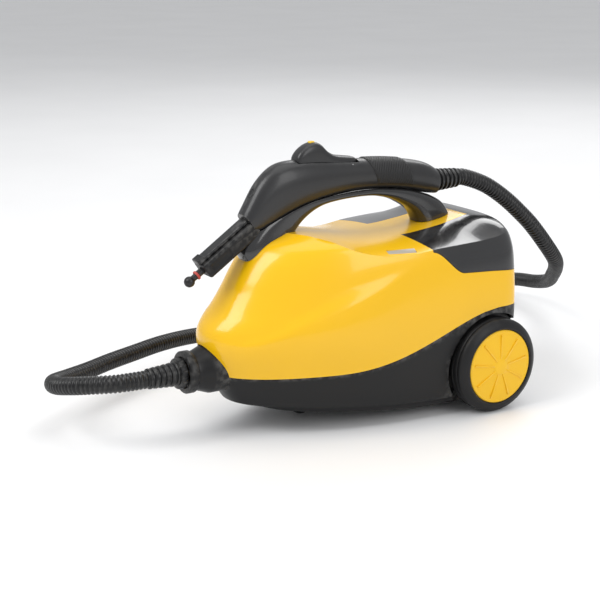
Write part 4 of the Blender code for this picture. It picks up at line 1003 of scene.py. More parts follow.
        rings = []
        for k in range(8):
            turn = k / 7 * math.pi / 2 * 0.86
            sink, lift = 0.014 * (1 - math.sin(turn)) + 0.0004, 0.0125 * (1 - math.cos(turn))
            rings.append([Vector((x, y, bottom(y) + lift)) for x, y in
                          (self.outline(a, self.clearance, inset + sink) for a in self.angles())])
        spine = [Vector((0, p.y, bottom(p.y))) for p in rings[0]]
        rings += [[self.flank(a, k / 11, inset, flank_start, top) for a in self.angles()] for k in range(12)]
        roof = [Vector((0, p.y, p.z)) for p in rings[-1]]
        return skin(name, self.at_world([spine, *rings, roof]), closed=False, degrees=28)


@dataclass
class Housing:
    """Tub, hood, lid, nose collar and the small pieces on them."""

    form: BodyForm
    palette: Palette
    wheel_radius: float = 0.055
    arch_gap: float = 0.005
    well_inner: float = 0.086
    caster_back: float = 0.205
    outlet_z: float = 0.074
    collar_length: float = 0.024
    lid_front: float = 0.0806
    channel_half: float = 0.034
    channel_end: float = 0.014
    lid_side: float = 0.163
    lid_gap: float = 0.0005

    def well(self, sign: int) -> bpy.types.Object:
        """A cutter for one wheel's room."""
        length = 0.2 - self.well_inner
        radius = self.wheel_radius + self.arch_gap
        place = (sign * (self.well_inner + length / 2), self.form.axle_y, self.wheel_radius)
        half = length / 2
        return drill("well", radius, -half, half, Axis.X, place, 96)

    def caster_room(self) -> bpy.types.Object:
        """A cutter for the caster's room."""
        return lathe("caster_room", [(0, -0.01), (0.030, -0.01), (0.030, 0.036), (0.027, 0.039), (0, 0.039)],
                     64, Axis.Z, (0, self.form.axle_y - self.caster_back, 0))

    def nose_hole(self) -> bpy.types.Object:
        """A cutter for the collar's seat in the nose."""
        front = self.form.axle_y - self.form.nose_reach
        return drill("nose_hole", 0.0273, -0.1, 0.03, Axis.Y, (0, front, self.outlet_z), 72)

    def hole_for(self, node: str, radius: float, axis: Axis, half_length: float) -> bpy.types.Object:
        """A cutter for the hole that a CAD node passes through.

        Args:
            node: The node in the hole.
            radius: Radius of the hole.
            axis: The hole's axis.
            half_length: Half the cutter's length.

        Returns:
            The cutter.
        """
        low, high = (Vector(corner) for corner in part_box(node))
        return drill(f"{node}_hole", radius, -half_length, half_length, axis, (low + high) / 2)

    def build_tub(self) -> None:
        """Cut the tub from the lower form."""
        tub = self.form.lower("tub_shell")
        hollow = self.form.lower("tub_hollow", self.form.wall, 0.03)
        for sign in (-1, 1):
            wall = self.well(sign)
            wall.data.transform(Matrix.Translation((-sign * self.form.wall, 0, 0)))
            carve(hollow, wall)
        carve(tub, hollow)
        for sign in (-1, 1):
            carve(tub, self.well(sign))
        carve(tub, self.caster_room())
        carve(tub, self.nose_hole())
        carve(tub, self.hole_for("rear_axle", 0.0043, Axis.X, 0.2))
        for side in ("left", "right"):
            carve(tub, self.hole_for(f"plate_screw_{side}", 0.0023, Axis.Z, 0.012))
        self.palette.dress(tub, Finish.TUB_BLACK, "machine_base", "base_tub")

    def lid_region(self, gap: float) -> bpy.types.Object:
        """Model the volume that the lid takes out of the hood.

        Args:
            gap: Clearance added round it.

        Returns:
            The closed volume.
        """
        outline = [(-self.lid_front - gap, 0.30), (-self.lid_front - gap, self.lid_side + 0.031)]
        length = self.lid_front - 0.040
        for k in range(1, 25):
            t = k / 24
            outline.append((-self.lid_front - gap + length * t,
                            self.lid_side - gap + 0.004 + 0.027 * (1 - ease(t))))
        outline += [(0.0, self.lid_side - gap + 0.0015), (0.075, self.lid_side - gap - 0.0055), (0.075, 0.30)]
        rings = [[Vector((x, y + self.form.axle_y, z)) for y, z in outline] for x in (-0.16, 0.16)]
        region = skin("lid_region", rings, degrees=20)
        channel = block("channel", (-self.channel_half + gap, -0.2 + self.form.axle_y, 0.1),
                        (self.channel_half - gap, self.channel_end - gap + self.form.axle_y, 0.32))
        return carve(region, channel)

    def build_hood(self) -> None:
        """Cut the hood and the lid from the upper form."""
        hollow = self.form.upper("hood_hollow", self.form.wall, drop=0.02)
        hood = self.form.upper("hood_shell", drop=-0.0004)
        lid = self.form.upper("lid_shell")
        for piece in (hood, lid):
            carve(piece, hollow, keep_cutter=True, degrees=28)
        bpy.data.objects.remove(hollow, do_unlink=True)
        carve(hood, self.lid_region(self.lid_gap), degrees=28)
        carve(hood, self.nose_hole(), degrees=28)
        carve(hood, self.hole_for("mains_gland", 0.0063, Axis.Y, 0.02), degrees=28)
        seat = self.badge_block("badge_seat", 0.0045, 0.017, -0.003, 0.005, 0.0)
        carve(hood, seat, degrees=28)
        for x, z in ((-0.030, 0.211), (-0.044, 0.209)):
            place = (x, self.form.axle_y - 0.182, z)
            carve(hood, drill("lamp_hole", 0.0038, -0.02, 0.02, Axis.Z, place, 40), degrees=28)
        carve(lid, self.lid_region(0.0), Cut.KEEP, degrees=28)
        self.palette.dress(hood, Finish.HOOD_YELLOW, "machine_base", "upper_hood")
        self.palette.dress(lid, Finish.GLOSS_BLACK, "lid", "rear_lid")

    def badge_block(self, name: str, half_x: float, half_y: float, low: float, high: float,
                    radius: float) -> bpy.types.Object:
        """A block laid on the flank where the badge sits.

        Args:
            name: The block's name.
            half_x: Half its width.
            half_y: Half its length.
            low: Its underside over the seat.
            high: Its top over the seat.
            radius: Radius of its edges.

        Returns:
            The block in place.
        """
        low_corner, high_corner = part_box("badge")
        middle = (Vector(low_corner) + Vector(high_corner)) / 2
        piece = block(name, (-half_x, -half_y, low), (half_x, half_y, high), radius, 3)
        piece.rotation_euler = (math.radians(1.5), math.radians(24), math.radians(-13))
        piece.location = middle - Vector((0.0004, 0, 0.0009))
        return settle(piece)

    def build_collar(self) -> None:
        """Turn the black collar round the hose outlet."""
        front = self.form.axle_y - self.form.nose_reach - self.collar_length
        profile = [(0.0120, 0.046), (0.0120, 0.004), (0.0175, 0.0035), (0.0178, 0.0), (0.0222, 0.0),
                   (0.0230, 0.0004),
                   (0.0235, 0.0012), (0.0235, 0.0088), (0.0231, 0.0096), (0.0216, 0.0103), (0.0215, 0.0112),
                   (0.0220, 0.0135), (0.0228, 0.0165), (0.0240, 0.0198), (0.0256, 0.0240), (0.0266, 0.0268),
                   (0.0270, 0.0290), (0.0270, 0.046)]
        collar = lathe("outlet_collar", profile, 96, Axis.Y, (0, front, self.outlet_z), 40)
        self.palette.dress(collar, Finish.TUB_BLACK, "machine_base", "nose_collar")

    def build_trim(self) -> None:
        """Model the badge, the lamps' lenses and the mains gland."""
        badge = self.badge_block("flank_badge", 0.0041, 0.0166, 0.0, 0.0014, 0.0004)
        self.palette.dress(badge, Finish.BADGE, "machine_base", "badge")
        for node, finish in (("lamp_power", Finish.GREEN_LENS), ("lamp_heat", Finish.ORANGE_LENS)):
            low, high = (Vector(corner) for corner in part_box(node))
            radius, top = (high.x - low.x) / 2, high.z - low.z
            profile = [(0, 0), (radius, 0)] + [
                (radius * math.cos(t), top - 0.0016 + 0.0016 * math.sin(t)) for t in
                (math.pi / 2 * k / 8 for k in range(8))] + [(0, top)]
            lens = lathe(f"{node}_lens", profile, 36, Axis.Z, ((low.x + high.x) / 2, (low.y + high.y) / 2,
                                                               low.z))
            self.palette.dress(lens, finish, "machine_base", node)
        low, high = (Vector(corner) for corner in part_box("mains_gland"))
        middle = (low + high) / 2
        grooves = [(0.0055 - 0.0006 * (k % 2), 0.0130 + 0.0005 * k) for k in range(7)]
        profile = [(0.0038, 0.0), (0.0060, 0.0), (0.0060, 0.0083), (0.0085, 0.0083), (0.0085, 0.0108),
                   (0.0080, 0.0114), (0.0060, 0.0124), *grooves, (0.0052, 0.0170), (0.0038, 0.0170)]
        gland = lathe("lead_gland", profile, 40, Axis.Y, (middle.x, low.y, middle.z))
        self.palette.dress(gland, Finish.TUB_BLACK, "machine_base", "mains_gland")

    def build(self) -> None:
        """Build every piece of the housing."""
        self.build_tub()
        self.build_hood()
        self.build_collar()
        self.build_trim()


# --- running gear --------------------------------------------------------------------


@dataclass
class RearWheel:
    """One rear wheel: tyre, rim and finned hub cap."""

    side: str
    sign: int
    palette: Palette
    axle_y: float = 0.146
    radius: float = 0.055
    hub_radius: float = 0.043
    track: float = 0.106
    half_width: float = 0.015
    fins: int = 9

    def turned(self, name: str, profile: Sequence[Pair], steps: int = 96) -> bpy.types.Object:
        """Turn a piece of this wheel, with heights counted outwards."""
        piece = lathe(name, [(r, self.sign * x) for r, x in profile], steps, Axis.X,
                      (self.sign * self.track, self.axle_y, self.radius), 38)
        return outward(piece)

    def build_tyre(self) -> None:
        """Turn the tyre with a rounded tread and two shallow grooves."""
        r, half, inner = self.radius, self.half_width, self.hub_radius + 0.0006
        groove = 0.0007
        tread = []
        for k in range(25):
            x = mix(-half, half, k / 24)
            fall = 0.009 * max(0.0, (abs(x) / half - 0.38) / 0.62) ** 2.4
            cut = groove if k in (9, 15) else 0.0
            tread.append((r - fall - cut, x))
        profile = [(inner, half - 0.001), (inner, -half + 0.001), (inner + 0.0012, -half), *tread,
                   (inner + 0.0012, half)]
        tyre = self.turned(f"tyre_tread_{self.side}", profile)
        self.palette.dress(tyre, Finish.TYRE, f"wheel_{self.side}", f"tyre_{self.side}")

    def build_rim(self) -> None:
        """Turn the rim, a dished drum behind the hub cap."""
        half, out = self.half_width, self.hub_radius + 0.0003
        dish = half - 0.004
        profile = [(0.0043, -half + 0.002), (0.0120, -half + 0.002), (0.0120, dish - 0.008),
                   (out - 0.003, dish - 0.008),
                   (out - 0.003, -half + 0.003), (out - 0.0024, -half + 0.002), (out, -half + 0.002),
                   (out, dish),
                   (out - 0.003, dish), (out - 0.003, dish - 0.005), (0.010, dish - 0.005), (0.010, 0.0),
                   (0.0043, 0.0)]
        rim = self.turned(f"rim_drum_{self.side}", profile, 72)
        self.palette.dress(rim, Finish.TUB_BLACK, f"wheel_{self.side}", f"rim_{self.side}")

    def build_hub_cap(self) -> None:
        """Turn the hub cap's dome and raise its radial fins."""
        hub, dish = self.hub_radius, self.half_width - 0.004
        profile = [(0, dish + 0.0006), (hub - 0.001, dish + 0.0003), (hub, dish + 0.001),
                   (hub, dish + 0.0022), (hub - 0.0004, dish + 0.0028), (hub - 0.0012, dish + 0.0032),
                   (hub - 0.0022, dish + 0.0033),
                   (hub - 0.0028, dish + 0.0029), (hub - 0.0036, dish + 0.0029), (hub * 0.7, dish + 0.0035),
                   (hub * 0.35, dish + 0.0040), (0.0100, dish + 0.0042), (0.0094, dish + 0.0047),
                   (0.0080, dish + 0.0051), (0, dish + 0.0053)]
        cap = self.turned(f"hub_dome_{self.side}", profile, 108)
        length = hub - 0.0145
        x = self.sign * (self.track + dish + 0.0040)
        for k in range(self.fins):
            fin = block("fin", (x - 0.0010, -0.0009, 0.0090), (x + 0.0010, 0.0009, 0.0090 + length), 0.0005,
                        2)
            spin = Matrix.Translation((0, self.axle_y, self.radius)) @ Matrix.Rotation(
                math.tau * k / self.fins, 4, "X")
            fin.data.transform(spin)
            carve(cap, fin, Cut.ADD, degrees=38)
        self.palette.dress(cap, Finish.HUB_YELLOW, f"wheel_{self.side}", f"hub_cap_{self.side}")

    def build(self) -> None:
        """Build the wheel."""
        self.build_tyre()
        self.build_rim()
        self.build_hub_cap()


@dataclass
class Underside:
    """Caster, axle, clips and the plate below the tub."""

    palette: Palette

    def build(self) -> None:
        """Turn the caster's roller and dress what stays as it is."""
        low, high = (Vector(corner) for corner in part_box("caster_wheel"))
        middle = (low + high) / 2
        radius, half = (high.z - low.z) / 2, (high.x - low.x) / 2
        profile = [(0.0023, -half), (radius - 0.005, -half), (radius - 0.0045, -half + 0.0008),
                   (radius - 0.003, -half + 0.0008), (radius - 0.0015, -half + 0.0003),
                   (radius - 0.0004, -half + 0.0016),
                   (radius, -half + 0.0035), (radius, half - 0.0035), (radius - 0.0004, half - 0.0016),
                   (radius - 0.0015, half - 0.0003), (radius - 0.003, half - 0.0008),
                   (radius - 0.0045, half - 0.0008), (radius - 0.005, half), (0.0023, half)]
        roller = lathe("caster_roller", profile, 64, Axis.X, middle)
        self.palette.dress(roller, Finish.TYRE, "caster_roller", "caster_wheel")
        self.palette.dress_nodes(Finish.TUB_BLACK, "caster_fork", "service_plate")
        self.palette.dress_nodes(Finish.STEEL, "rear_axle", "axle_clip_left", "axle_clip_right", "caster_pin",
                                 "plate_screw_left", "plate_screw_right")


# --- lid hinge, tray, filler and inner pieces -------------------------------------------


@dataclass
class UnderLid:
    """What the open lid shows, and what the closed body hides."""

    palette: Palette

    def build_filler(self) -> None:
        """Turn the filler's cap with finger scallops and a raised bar."""
        low, high = (Vector(corner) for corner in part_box("cap_grip"))
        middle, radius, top = (low + high) / 2, (high.x - low.x) / 2, high.z - low.z - 0.004
        profile = [(0, 0.0123), (0.0160, 0.0123), (0.0160, 0.0), (radius - 0.0008, 0.0), (radius, 0.0010),
                   (radius, top - 0.0030), (radius - 0.0008, top - 0.0012), (radius - 0.0030, top), (0, top)]
        cap = lathe("filler_cap", profile, 96, Axis.Z, (middle.x, middle.y, low.z), 38)
        for k in range(12):
            angle = math.tau * (k + 0.5) / 12
            groove = lathe("groove", [(0, -0.002), (0.0024, -0.002), (0.0024, 0.013), (0, 0.0154)], 20,
                           Axis.Z, (middle.x + (radius + 0.0012) * math.cos(angle),
                            middle.y + (radius + 0.0012) * math.sin(angle), low.z))
            carve(cap, groove, degrees=38)
        bar = block("bar", (middle.x - radius + 0.003, middle.y - 0.003, low.z + top - 0.001),
                    (middle.x + radius - 0.003, middle.y + 0.003, high.z), 0.0012, 4)
        carve(cap, bar, Cut.ADD, degrees=38)
        self.palette.dress(cap, Finish.TUB_BLACK, "cap_knob", "cap_grip")
        self.palette.dress_nodes(Finish.CAP_GREY, "cap_plug")
        self.palette.dress_nodes(Finish.BRASS, "filler_neck")
        self.palette.dress_nodes(Finish.SEAL, "filler_seal")

    def build_tray(self) -> None:
        """Model the tray with rounded corners and a hole for the filler neck."""
        low, high = (Vector(corner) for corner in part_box("storage_tray"))
        wall = Vector((0.002, 0.002, 0.002))
        tray = block("accessory_tray", low, high, 0.0015, 3)
        room = block("room", low + wall, (high.x - wall.x, high.y - wall.y, high.z + 0.02), 0.004, 4)
        carve(tray, room)
        neck_low, neck_high = (Vector(corner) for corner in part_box("filler_neck"))
        neck = (neck_low + neck_high) / 2
        carve(tray, drill("neck_hole", 0.0153, -0.02, 0.02, Axis.Z, (neck.x, neck.y, low.z), 64))
        self.palette.dress(tray, Finish.TUB_BLACK, "machine_base", "storage_tray")

    def build(self) -> None:
        """Build the filler and the tray, and dress the rest."""
        self.build_filler()
        self.build_tray()
        self.palette.dress_nodes(Finish.TUB_BLACK, "hinge_leaf_hood", "hinge_leaf_lid")
        self.palette.dress_nodes(Finish.STEEL, "hinge_pin")
        self.palette.dress_nodes(Finish.BOILER, "boiler_half_left", "boiler_half_right")
        self.palette.dress_nodes(Finish.SEAL, "boiler_gasket")
        self.palette.dress_nodes(Finish.COPPER, "heating_element", "steam_pipe")
        self.palette.dress_nodes(Finish.DARK_PLASTIC, "thermostat", "pressure_switch", "boiler_saddle_left",
                                 "boiler_saddle_right", "steam_valve", "gun_valve")
        self.palette.dress_nodes(Finish.BRASS, "hose_coupling", "gun_steam_pipe")


# --- handle and steam gun ---------------------------------------------------------------


def arched(stations: Sequence[tuple[Pair, Pair]], origin: Pair, widths: Sequence[float], grow: float,
           squareness: float, pieces: int, count: int) -> list[list[Vector]]:
    """Fill rings in between the side-view stations of an arched or bent body.

    Args:
        stations: (y, z) of the lower and of the upper edge at each station, in millimetres.
        origin: World (y, z) of the stations' origin.
        widths: Half the width at each station.
        grow: Clearance added all round.
        squareness: Of the sections.
        pieces: Rings from each station to the next.
        count: Points round a ring.

    Returns:
        The rings.
    """
    rows = [(*low, *high, wide) for (low, high), wide in zip(stations, widths)]
    filled = spline(rows, pieces)
    rings = []
    for k, (low_y, low_z, high_y, high_z, wide) in enumerate(filled):
        low = Vector((origin[0] + low_y * MM, origin[1] + low_z * MM))
        high = Vector((origin[0] + high_y * MM, origin[1] + high_z * MM))
        rise = (high - low).normalized() * grow
        slide = Vector((0.0, 0.0))
        if k in (0, len(filled) - 1):
            slide = Vector((rise.y, -rise.x)) * (1 if k == 0 else -1)
        rings.append(section(tuple(low - rise + slide), tuple(high + rise + slide), wide + grow, squareness,
                             count))
    return rings


@dataclass
class CarryHandle:
    """The arched handle on the deck, with the cradle that the gun lies in."""

    form: BodyForm
    palette: Palette
    origin: Pair = (0.036, 0.255)
    half_width: float = 0.015
    foot_half_width: float = 0.0175
    arch: tuple = (
        ((-100, -62), (-158, -68)), ((-98, -46), (-163, -56)), ((-94, -36.5), (-157, -42)),
        ((-80, -23.5), (-137, -24)), ((-60, -13.5), (-100, -8)), ((-34, -9.5), (-52, -2)), ((0, -9), (0, 0)),
        ((25, -13.5), (30, -1.5)), ((46, -22), (60, -6.5)), ((62, -32), (88, -16)), ((69.5, -42), (108, -28)),
        ((73, -53), (119, -48)), ((75, -66), (121, -66)))

    def volume(self, name: str, grow: float = 0.0) -> bpy.types.Object:
        """Skin the arch's closed volume, grown by a clearance."""
        last = len(self.arch) - 1
        widths = [mix(self.half_width, self.foot_half_width, ease(abs(2 * k / last - 1) * 1.6 - 0.6))
                  for k in range(last + 1)]
        return skin(name, arched(self.arch, self.origin, widths, grow, 3.2, 6, 56))

    def build(self, gun: "SteamGun") -> None:
        """Cut the arch to the deck and to the gun."""
        handle = self.volume("handle_arch")
        carve(handle, self.form.upper("deck_under_handle", -0.0006))
        carve(handle, gun.volume("cradle", 0.0017))
        self.palette.dress(handle, Finish.GLOSS_BLACK, "machine_base", "carry_handle")


@dataclass
class SteamGun:
    """The parked gun: shells, grip, lever, button, connector and nozzle."""

    palette: Palette
    origin: Pair = (0.134, 0.2535)
    wall: float = 0.0024
    gap: float = 0.0003
    slope: float = math.radians(34)
    button_tilt: float = math.radians(57)
    pin: Pair = (-121, 30.2)
    pin_hole: float = 0.0018
    connector_face: float = 0.019
    connector_length: float = 0.076
    connector_half: float = 0.013
    connector_height: float = 0.018
    outline: tuple = (
        ((0, -15), (0, 15), 15), ((-16, -12.5), (-15, 23), 17), ((-40, -7), (-38, 28.5), 17.5),
        ((-73, -2.5), (-73, 33), 17.5), ((-112, -1), (-113, 35.5), 17.5), ((-150, -5), (-155, 38.5), 18.5),
        ((-182, -12), (-189, 40.5), 19.5), ((-205, -21), (-216, 37), 19), ((-222, -29), (-237, 21), 17),
        ((-236, -33.5), (-253, -3.5), 15), ((-244, -33.5), (-258.5, -13), 13.5))

    def at(self, y: float, z: float) -> Pair:
        """World (y, z) of a point of the gun, given in millimetres from its tail."""
        return self.origin[0] + y * MM, self.origin[1] + z * MM

    def rings(self, grow: float, pieces: int = 6, count: int = 64) -> list[list[Vector]]:
        """The gun's sections, grown by a clearance."""
        stations = [(low, high) for low, high, _ in self.outline]
        widths = [wide * MM for _, _, wide in self.outline]
        return arched(stations, self.origin, widths, grow, 2.3, pieces, count)

    def volume(self, name: str, grow: float = 0.0) -> bpy.types.Object:
        """Skin the gun's closed volume, grown by a clearance."""
        return skin(name, self.rings(grow))

    def build_shells(self) -> None:
        """Cut the two shell halves from the gun's form."""
        tail_y, tail_z = self.origin
        button = (0, *self.at(-244.5, 8))
        pin = (0, *self.at(*self.pin))
        for side, sign in (("left", -1), ("right", 1)):
            shell = self.volume(f"gun_half_{side}")
            low, high = sorted((sign * self.gap / 2, sign * 0.05))
            carve(shell, block("side", (low, tail_y - 0.4, 0.1), (high, tail_y + 0.1, 0.4)), Cut.KEEP)
            carve(shell, self.volume("hollow", -self.wall))
            carve(shell, drill("tail_hole", 0.009, -0.02, 0.01, Axis.Y, (0, tail_y, tail_z)))
            carve(shell, block("slot", (-0.0106, tail_y - 0.192, tail_z + 0.026),
                               (0.0106, tail_y - 0.111, tail_z + 0.07), 0.0012, 2))
            hole = drill("button_hole", 0.0053, -0.02, 0.03, Axis.Z, (0, 0, 0))
            carve(shell, self.tilted(hole, self.button_tilt, button))
            carve(shell, drill("pin_seat", self.pin_hole, -0.0135, 0.0135, Axis.X, pin, 24))
            self.palette.dress(shell, Finish.GUN_GREY, "machine_base", f"gun_shell_{side}")
        cap = lathe("button_cap", [(0, -0.005), (0.005, -0.005), (0.005, 0.0008), (0.0047, 0.0014),
                                   (0.0040, 0.0016),
                                   (0.0034, 0.0013), (0.0015, 0.0010), (0, 0.0009)], 48, Axis.Z, (0, 0, 0))
        self.palette.dress(self.tilted(cap, self.button_tilt, button), Finish.DARK_PLASTIC, "gun_button",
                           "release_button")

    def tilted(self, piece: bpy.types.Object, angle: float, place: Sequence[float]) -> bpy.types.Object:
        """Turn a piece about X and move it to its place."""
        piece.data.transform(Matrix.Translation(Vector(place)) @ Matrix.Rotation(angle, 4, "X"))
        return piece

    def build_grip(self) -> None:
        """Wrap the grip's sleeve round the back and flanks, with fine diagonal grooves."""
        along, around, pitch, depth = 170, 150, 3.3 * MM, 0.00055
        station = curve_through([(-112.5, 4), (-73, 3), (-39, 2), (-15.5, 1), (0, 0)])
        rows = [(*low, *high, wide) for low, high, wide in self.outline]
        fine = spline(rows, 40)

        def point(share: float, angle: float, grow: float) -> Vector:
            """A point of the sleeve over its length and round the gun."""
            rise = power(math.sin(angle), 2 / 2.3)
            height = 15 + 18 * rise
            y = mix(-107 + (50 - height) / 46 * 19, -36 - (height + 1) / 51 * 19, share)
            low_y, low_z, high_y, high_z, wide = fine[round(station(y) * 40)]
            middle_z = (low_z + high_z) / 2
            half = math.hypot(high_z - low_z, high_y - low_y) / 2 * MM + grow
            place = self.at(y, middle_z)
            return Vector(((wide * MM + grow) * power(math.cos(angle), 2 / 2.3), place[0],
                           place[1] + half * rise))

        start, end = math.radians(-34), math.radians(214)
        sheets = []
        for outer in (True, False):
            sheet = []
            for i in range(along + 1):
                row = []
                for j in range(around + 1):
                    share, angle = i / along, mix(start, end, j / around)
                    grow = self.gap
                    if outer:
                        arc = abs(angle - math.pi / 2) * 17.5 * MM
                        wave = 0.5 - 0.5 * math.cos(math.tau * (share * 52 * MM + arc * 0.8) / pitch)
                        edge = min(1.0, share * 22, (1 - share) * 22, j / 6, (around - j) / 6)
                        grow = mix(0.0006, 0.0014, ease(edge)) - depth * wave**2 * ease(edge)
                    row.append(point(share, angle, grow))
                sheet.append(row)
            sheets.append(sheet)
        rings = [outer + inner[::-1] for outer, inner in zip(*sheets)]
        sleeve = self.strip("grip_wrap", rings)
        self.palette.dress(sleeve, Finish.GRIP, "machine_base", "grip_sleeve")

    def strip(self, name: str, rings: list[list[Vector]]) -> bpy.types.Object:
        """Skin a bent strip whose end rings are closed from the outer to the inner side."""
        shell = bmesh.new()
        loops = [[shell.verts.new(point) for point in ring] for ring in rings]
        count = len(loops[0])
        for near, far in zip(loops, loops[1:]):
            for i in range(count):
                j = (i + 1) % count
                shell.faces.new((near[i], near[j], far[j], far[i]))
        for loop in (loops[0], loops[-1]):
            for i in range(count // 2 - 1):
                shell.faces.new((loop[i], loop[i + 1], loop[count - 2 - i], loop[count - 1 - i]))
        bmesh.ops.recalc_face_normals(shell, faces=shell.faces)
        mesh = bpy.data.meshes.new(name)
        shell.to_mesh(mesh)
        shell.free()
        piece = bpy.data.objects.new(name, mesh)
        bpy.context.scene.collection.objects.link(piece)
        return smooth(piece, 50)

    def build_lever(self) -> None:
        """Skin the thumb lever and model the slider on its peak."""
        sections = ((-191, 31, 37, 5), (-189.5, 30, 45, 8), (-184, 30, 51.5, 9.6), (-176, 30, 56.5, 10),
                    (-167, 30, 58.5, 10), (-159, 30, 56, 10), (-150, 30, 47.5, 10), (-140, 28, 42.5, 10),
                    (-126, 27, 40, 9.6), (-116, 27, 38.5, 8), (-112, 28.5, 36.5, 5))
        rings = []
        for y, low, high, half in spline(sections, 5):
            rings.append(section(self.at(y, low), self.at(y, high), half * MM, 3.0, 56))
        lever = skin("thumb_trigger", rings)
        carve(lever, drill("pin_hole", self.pin_hole, -0.03, 0.03, Axis.X, (0, *self.at(*self.pin)), 24))
        y, z = self.at(-167, 54.5)
        carve(lever, block("slider_room", (-0.0034, y - 0.005, z), (0.0034, y + 0.005, z + 0.01), 0.0004, 1))
        self.palette.dress(lever, Finish.GUN_GREY, "steam_lever", "thumb_lever")
        slider = block("slider_knob", (-0.003, y - 0.0046, z + self.gap), (0.003, y + 0.0016, z + 0.005),
                       0.0009, 4)
        for k in range(3):
            at_y = y - 0.0030 + 0.0015 * k
            carve(slider, block("nick", (-0.01, at_y - 0.0002, z + 0.0045), (0.01, at_y + 0.0002, z + 0.01)))
        self.palette.dress(slider, Finish.MARK, "lever_lock", "lock_slider")
        self.palette.dress_nodes(Finish.STEEL, "lever_pin")

    def build_connector(self, handle: CarryHandle) -> None:
        """Model the connector body, its rail, the nozzle and its red seal."""
        place = (0, *self.at(-322, -79.5))
        face, length, half, rise = (self.connector_face, self.connector_length, self.connector_half,
                                    self.connector_height / 2)
        body = block("connector_box", (-half, face, -rise), (half, face + length, rise), 0.003, 5)
        for sign in (-1, 1):
            low, high = sorted((sign * (half - 0.0007), sign * (half + 0.01)))
            carve(body, block("panel", (low, face + 0.007, -rise + 0.004),
                              (high, face + 0.035, rise - 0.0045), 0.0006, 2))
        carve(body, drill("nozzle_bore", 0.0043, 0, face + 0.014, Axis.Y, (0, 0, 0)))
        self.tilted(body, self.slope, place)
        carve(body, self.volume("gun_clear", self.gap))
        carve(body, handle.volume("arch_clear", self.gap))
        self.palette.dress(body, Finish.TUB_BLACK, "machine_base", "connector_body")
        low = rise + self.gap
        rail = block("rail_bar", (-0.007, face - 0.001, low), (0.007, face + length, low + 0.004), 0.0009, 3)
        carve(rail, block("rail_head", (-0.007, face - 0.001, low + 0.001),
                          (0.007, face + 0.0085, low + 0.006), 0.0011, 4), Cut.ADD)
        for k in range(3):
            at_y = face + 0.0016 + 0.0022 * k
            carve(rail, block("nick", (-0.005, at_y, low + 0.0055), (0.005, at_y + 0.0007, low + 0.01)))
        self.tilted(rail, self.slope, place)
        carve(rail, self.volume("gun_clear", self.gap))
        self.palette.dress(rail, Finish.DARK_PLASTIC, "machine_base", "latch_rail")
        ball = 0.006
        turns = [math.pi * 0.74 * k / 18 for k in range(1, 19)]
        arc = [(ball * math.sin(t), -ball * math.cos(t)) for t in turns]
        neck = [(0.0036, 0.0050), (0.0034, 0.0064), (0.0036, 0.0074), (0.0036, 0.0090), (0.0034, 0.0092),
                (0.0034, 0.0126), (0.0040, 0.0128), (0.0040, face + 0.013), (0, face + 0.013)]
        tube = lathe("nozzle_ball", [(0, -ball), *arc, *neck], 48, Axis.Y, (0, 0, 0))
        self.palette.dress(self.tilted(tube, self.slope, place), Finish.DARK_PLASTIC, "machine_base",
                           "nozzle_tube")
        ring = [(0.0037, 0.0095), (0.0047, 0.0095), (0.0052, 0.0099), (0.0054, 0.0106), (0.0054, 0.0112),
                (0.0052, 0.0119), (0.0047, 0.0123), (0.0037, 0.0123)]
        seal = lathe("red_ring", ring, 48, Axis.Y, (0, 0, 0))
        self.palette.dress(self.tilted(seal, self.slope, place), Finish.RED_SEAL, "machine_base",
                           "nozzle_seal")

    def build(self, handle: CarryHandle) -> None:
        """Build every piece of the gun."""
        self.build_shells()
        self.build_grip()
        self.build_lever()
        self.build_connector(handle)


# --- hose -------------------------------------------------------------------------------


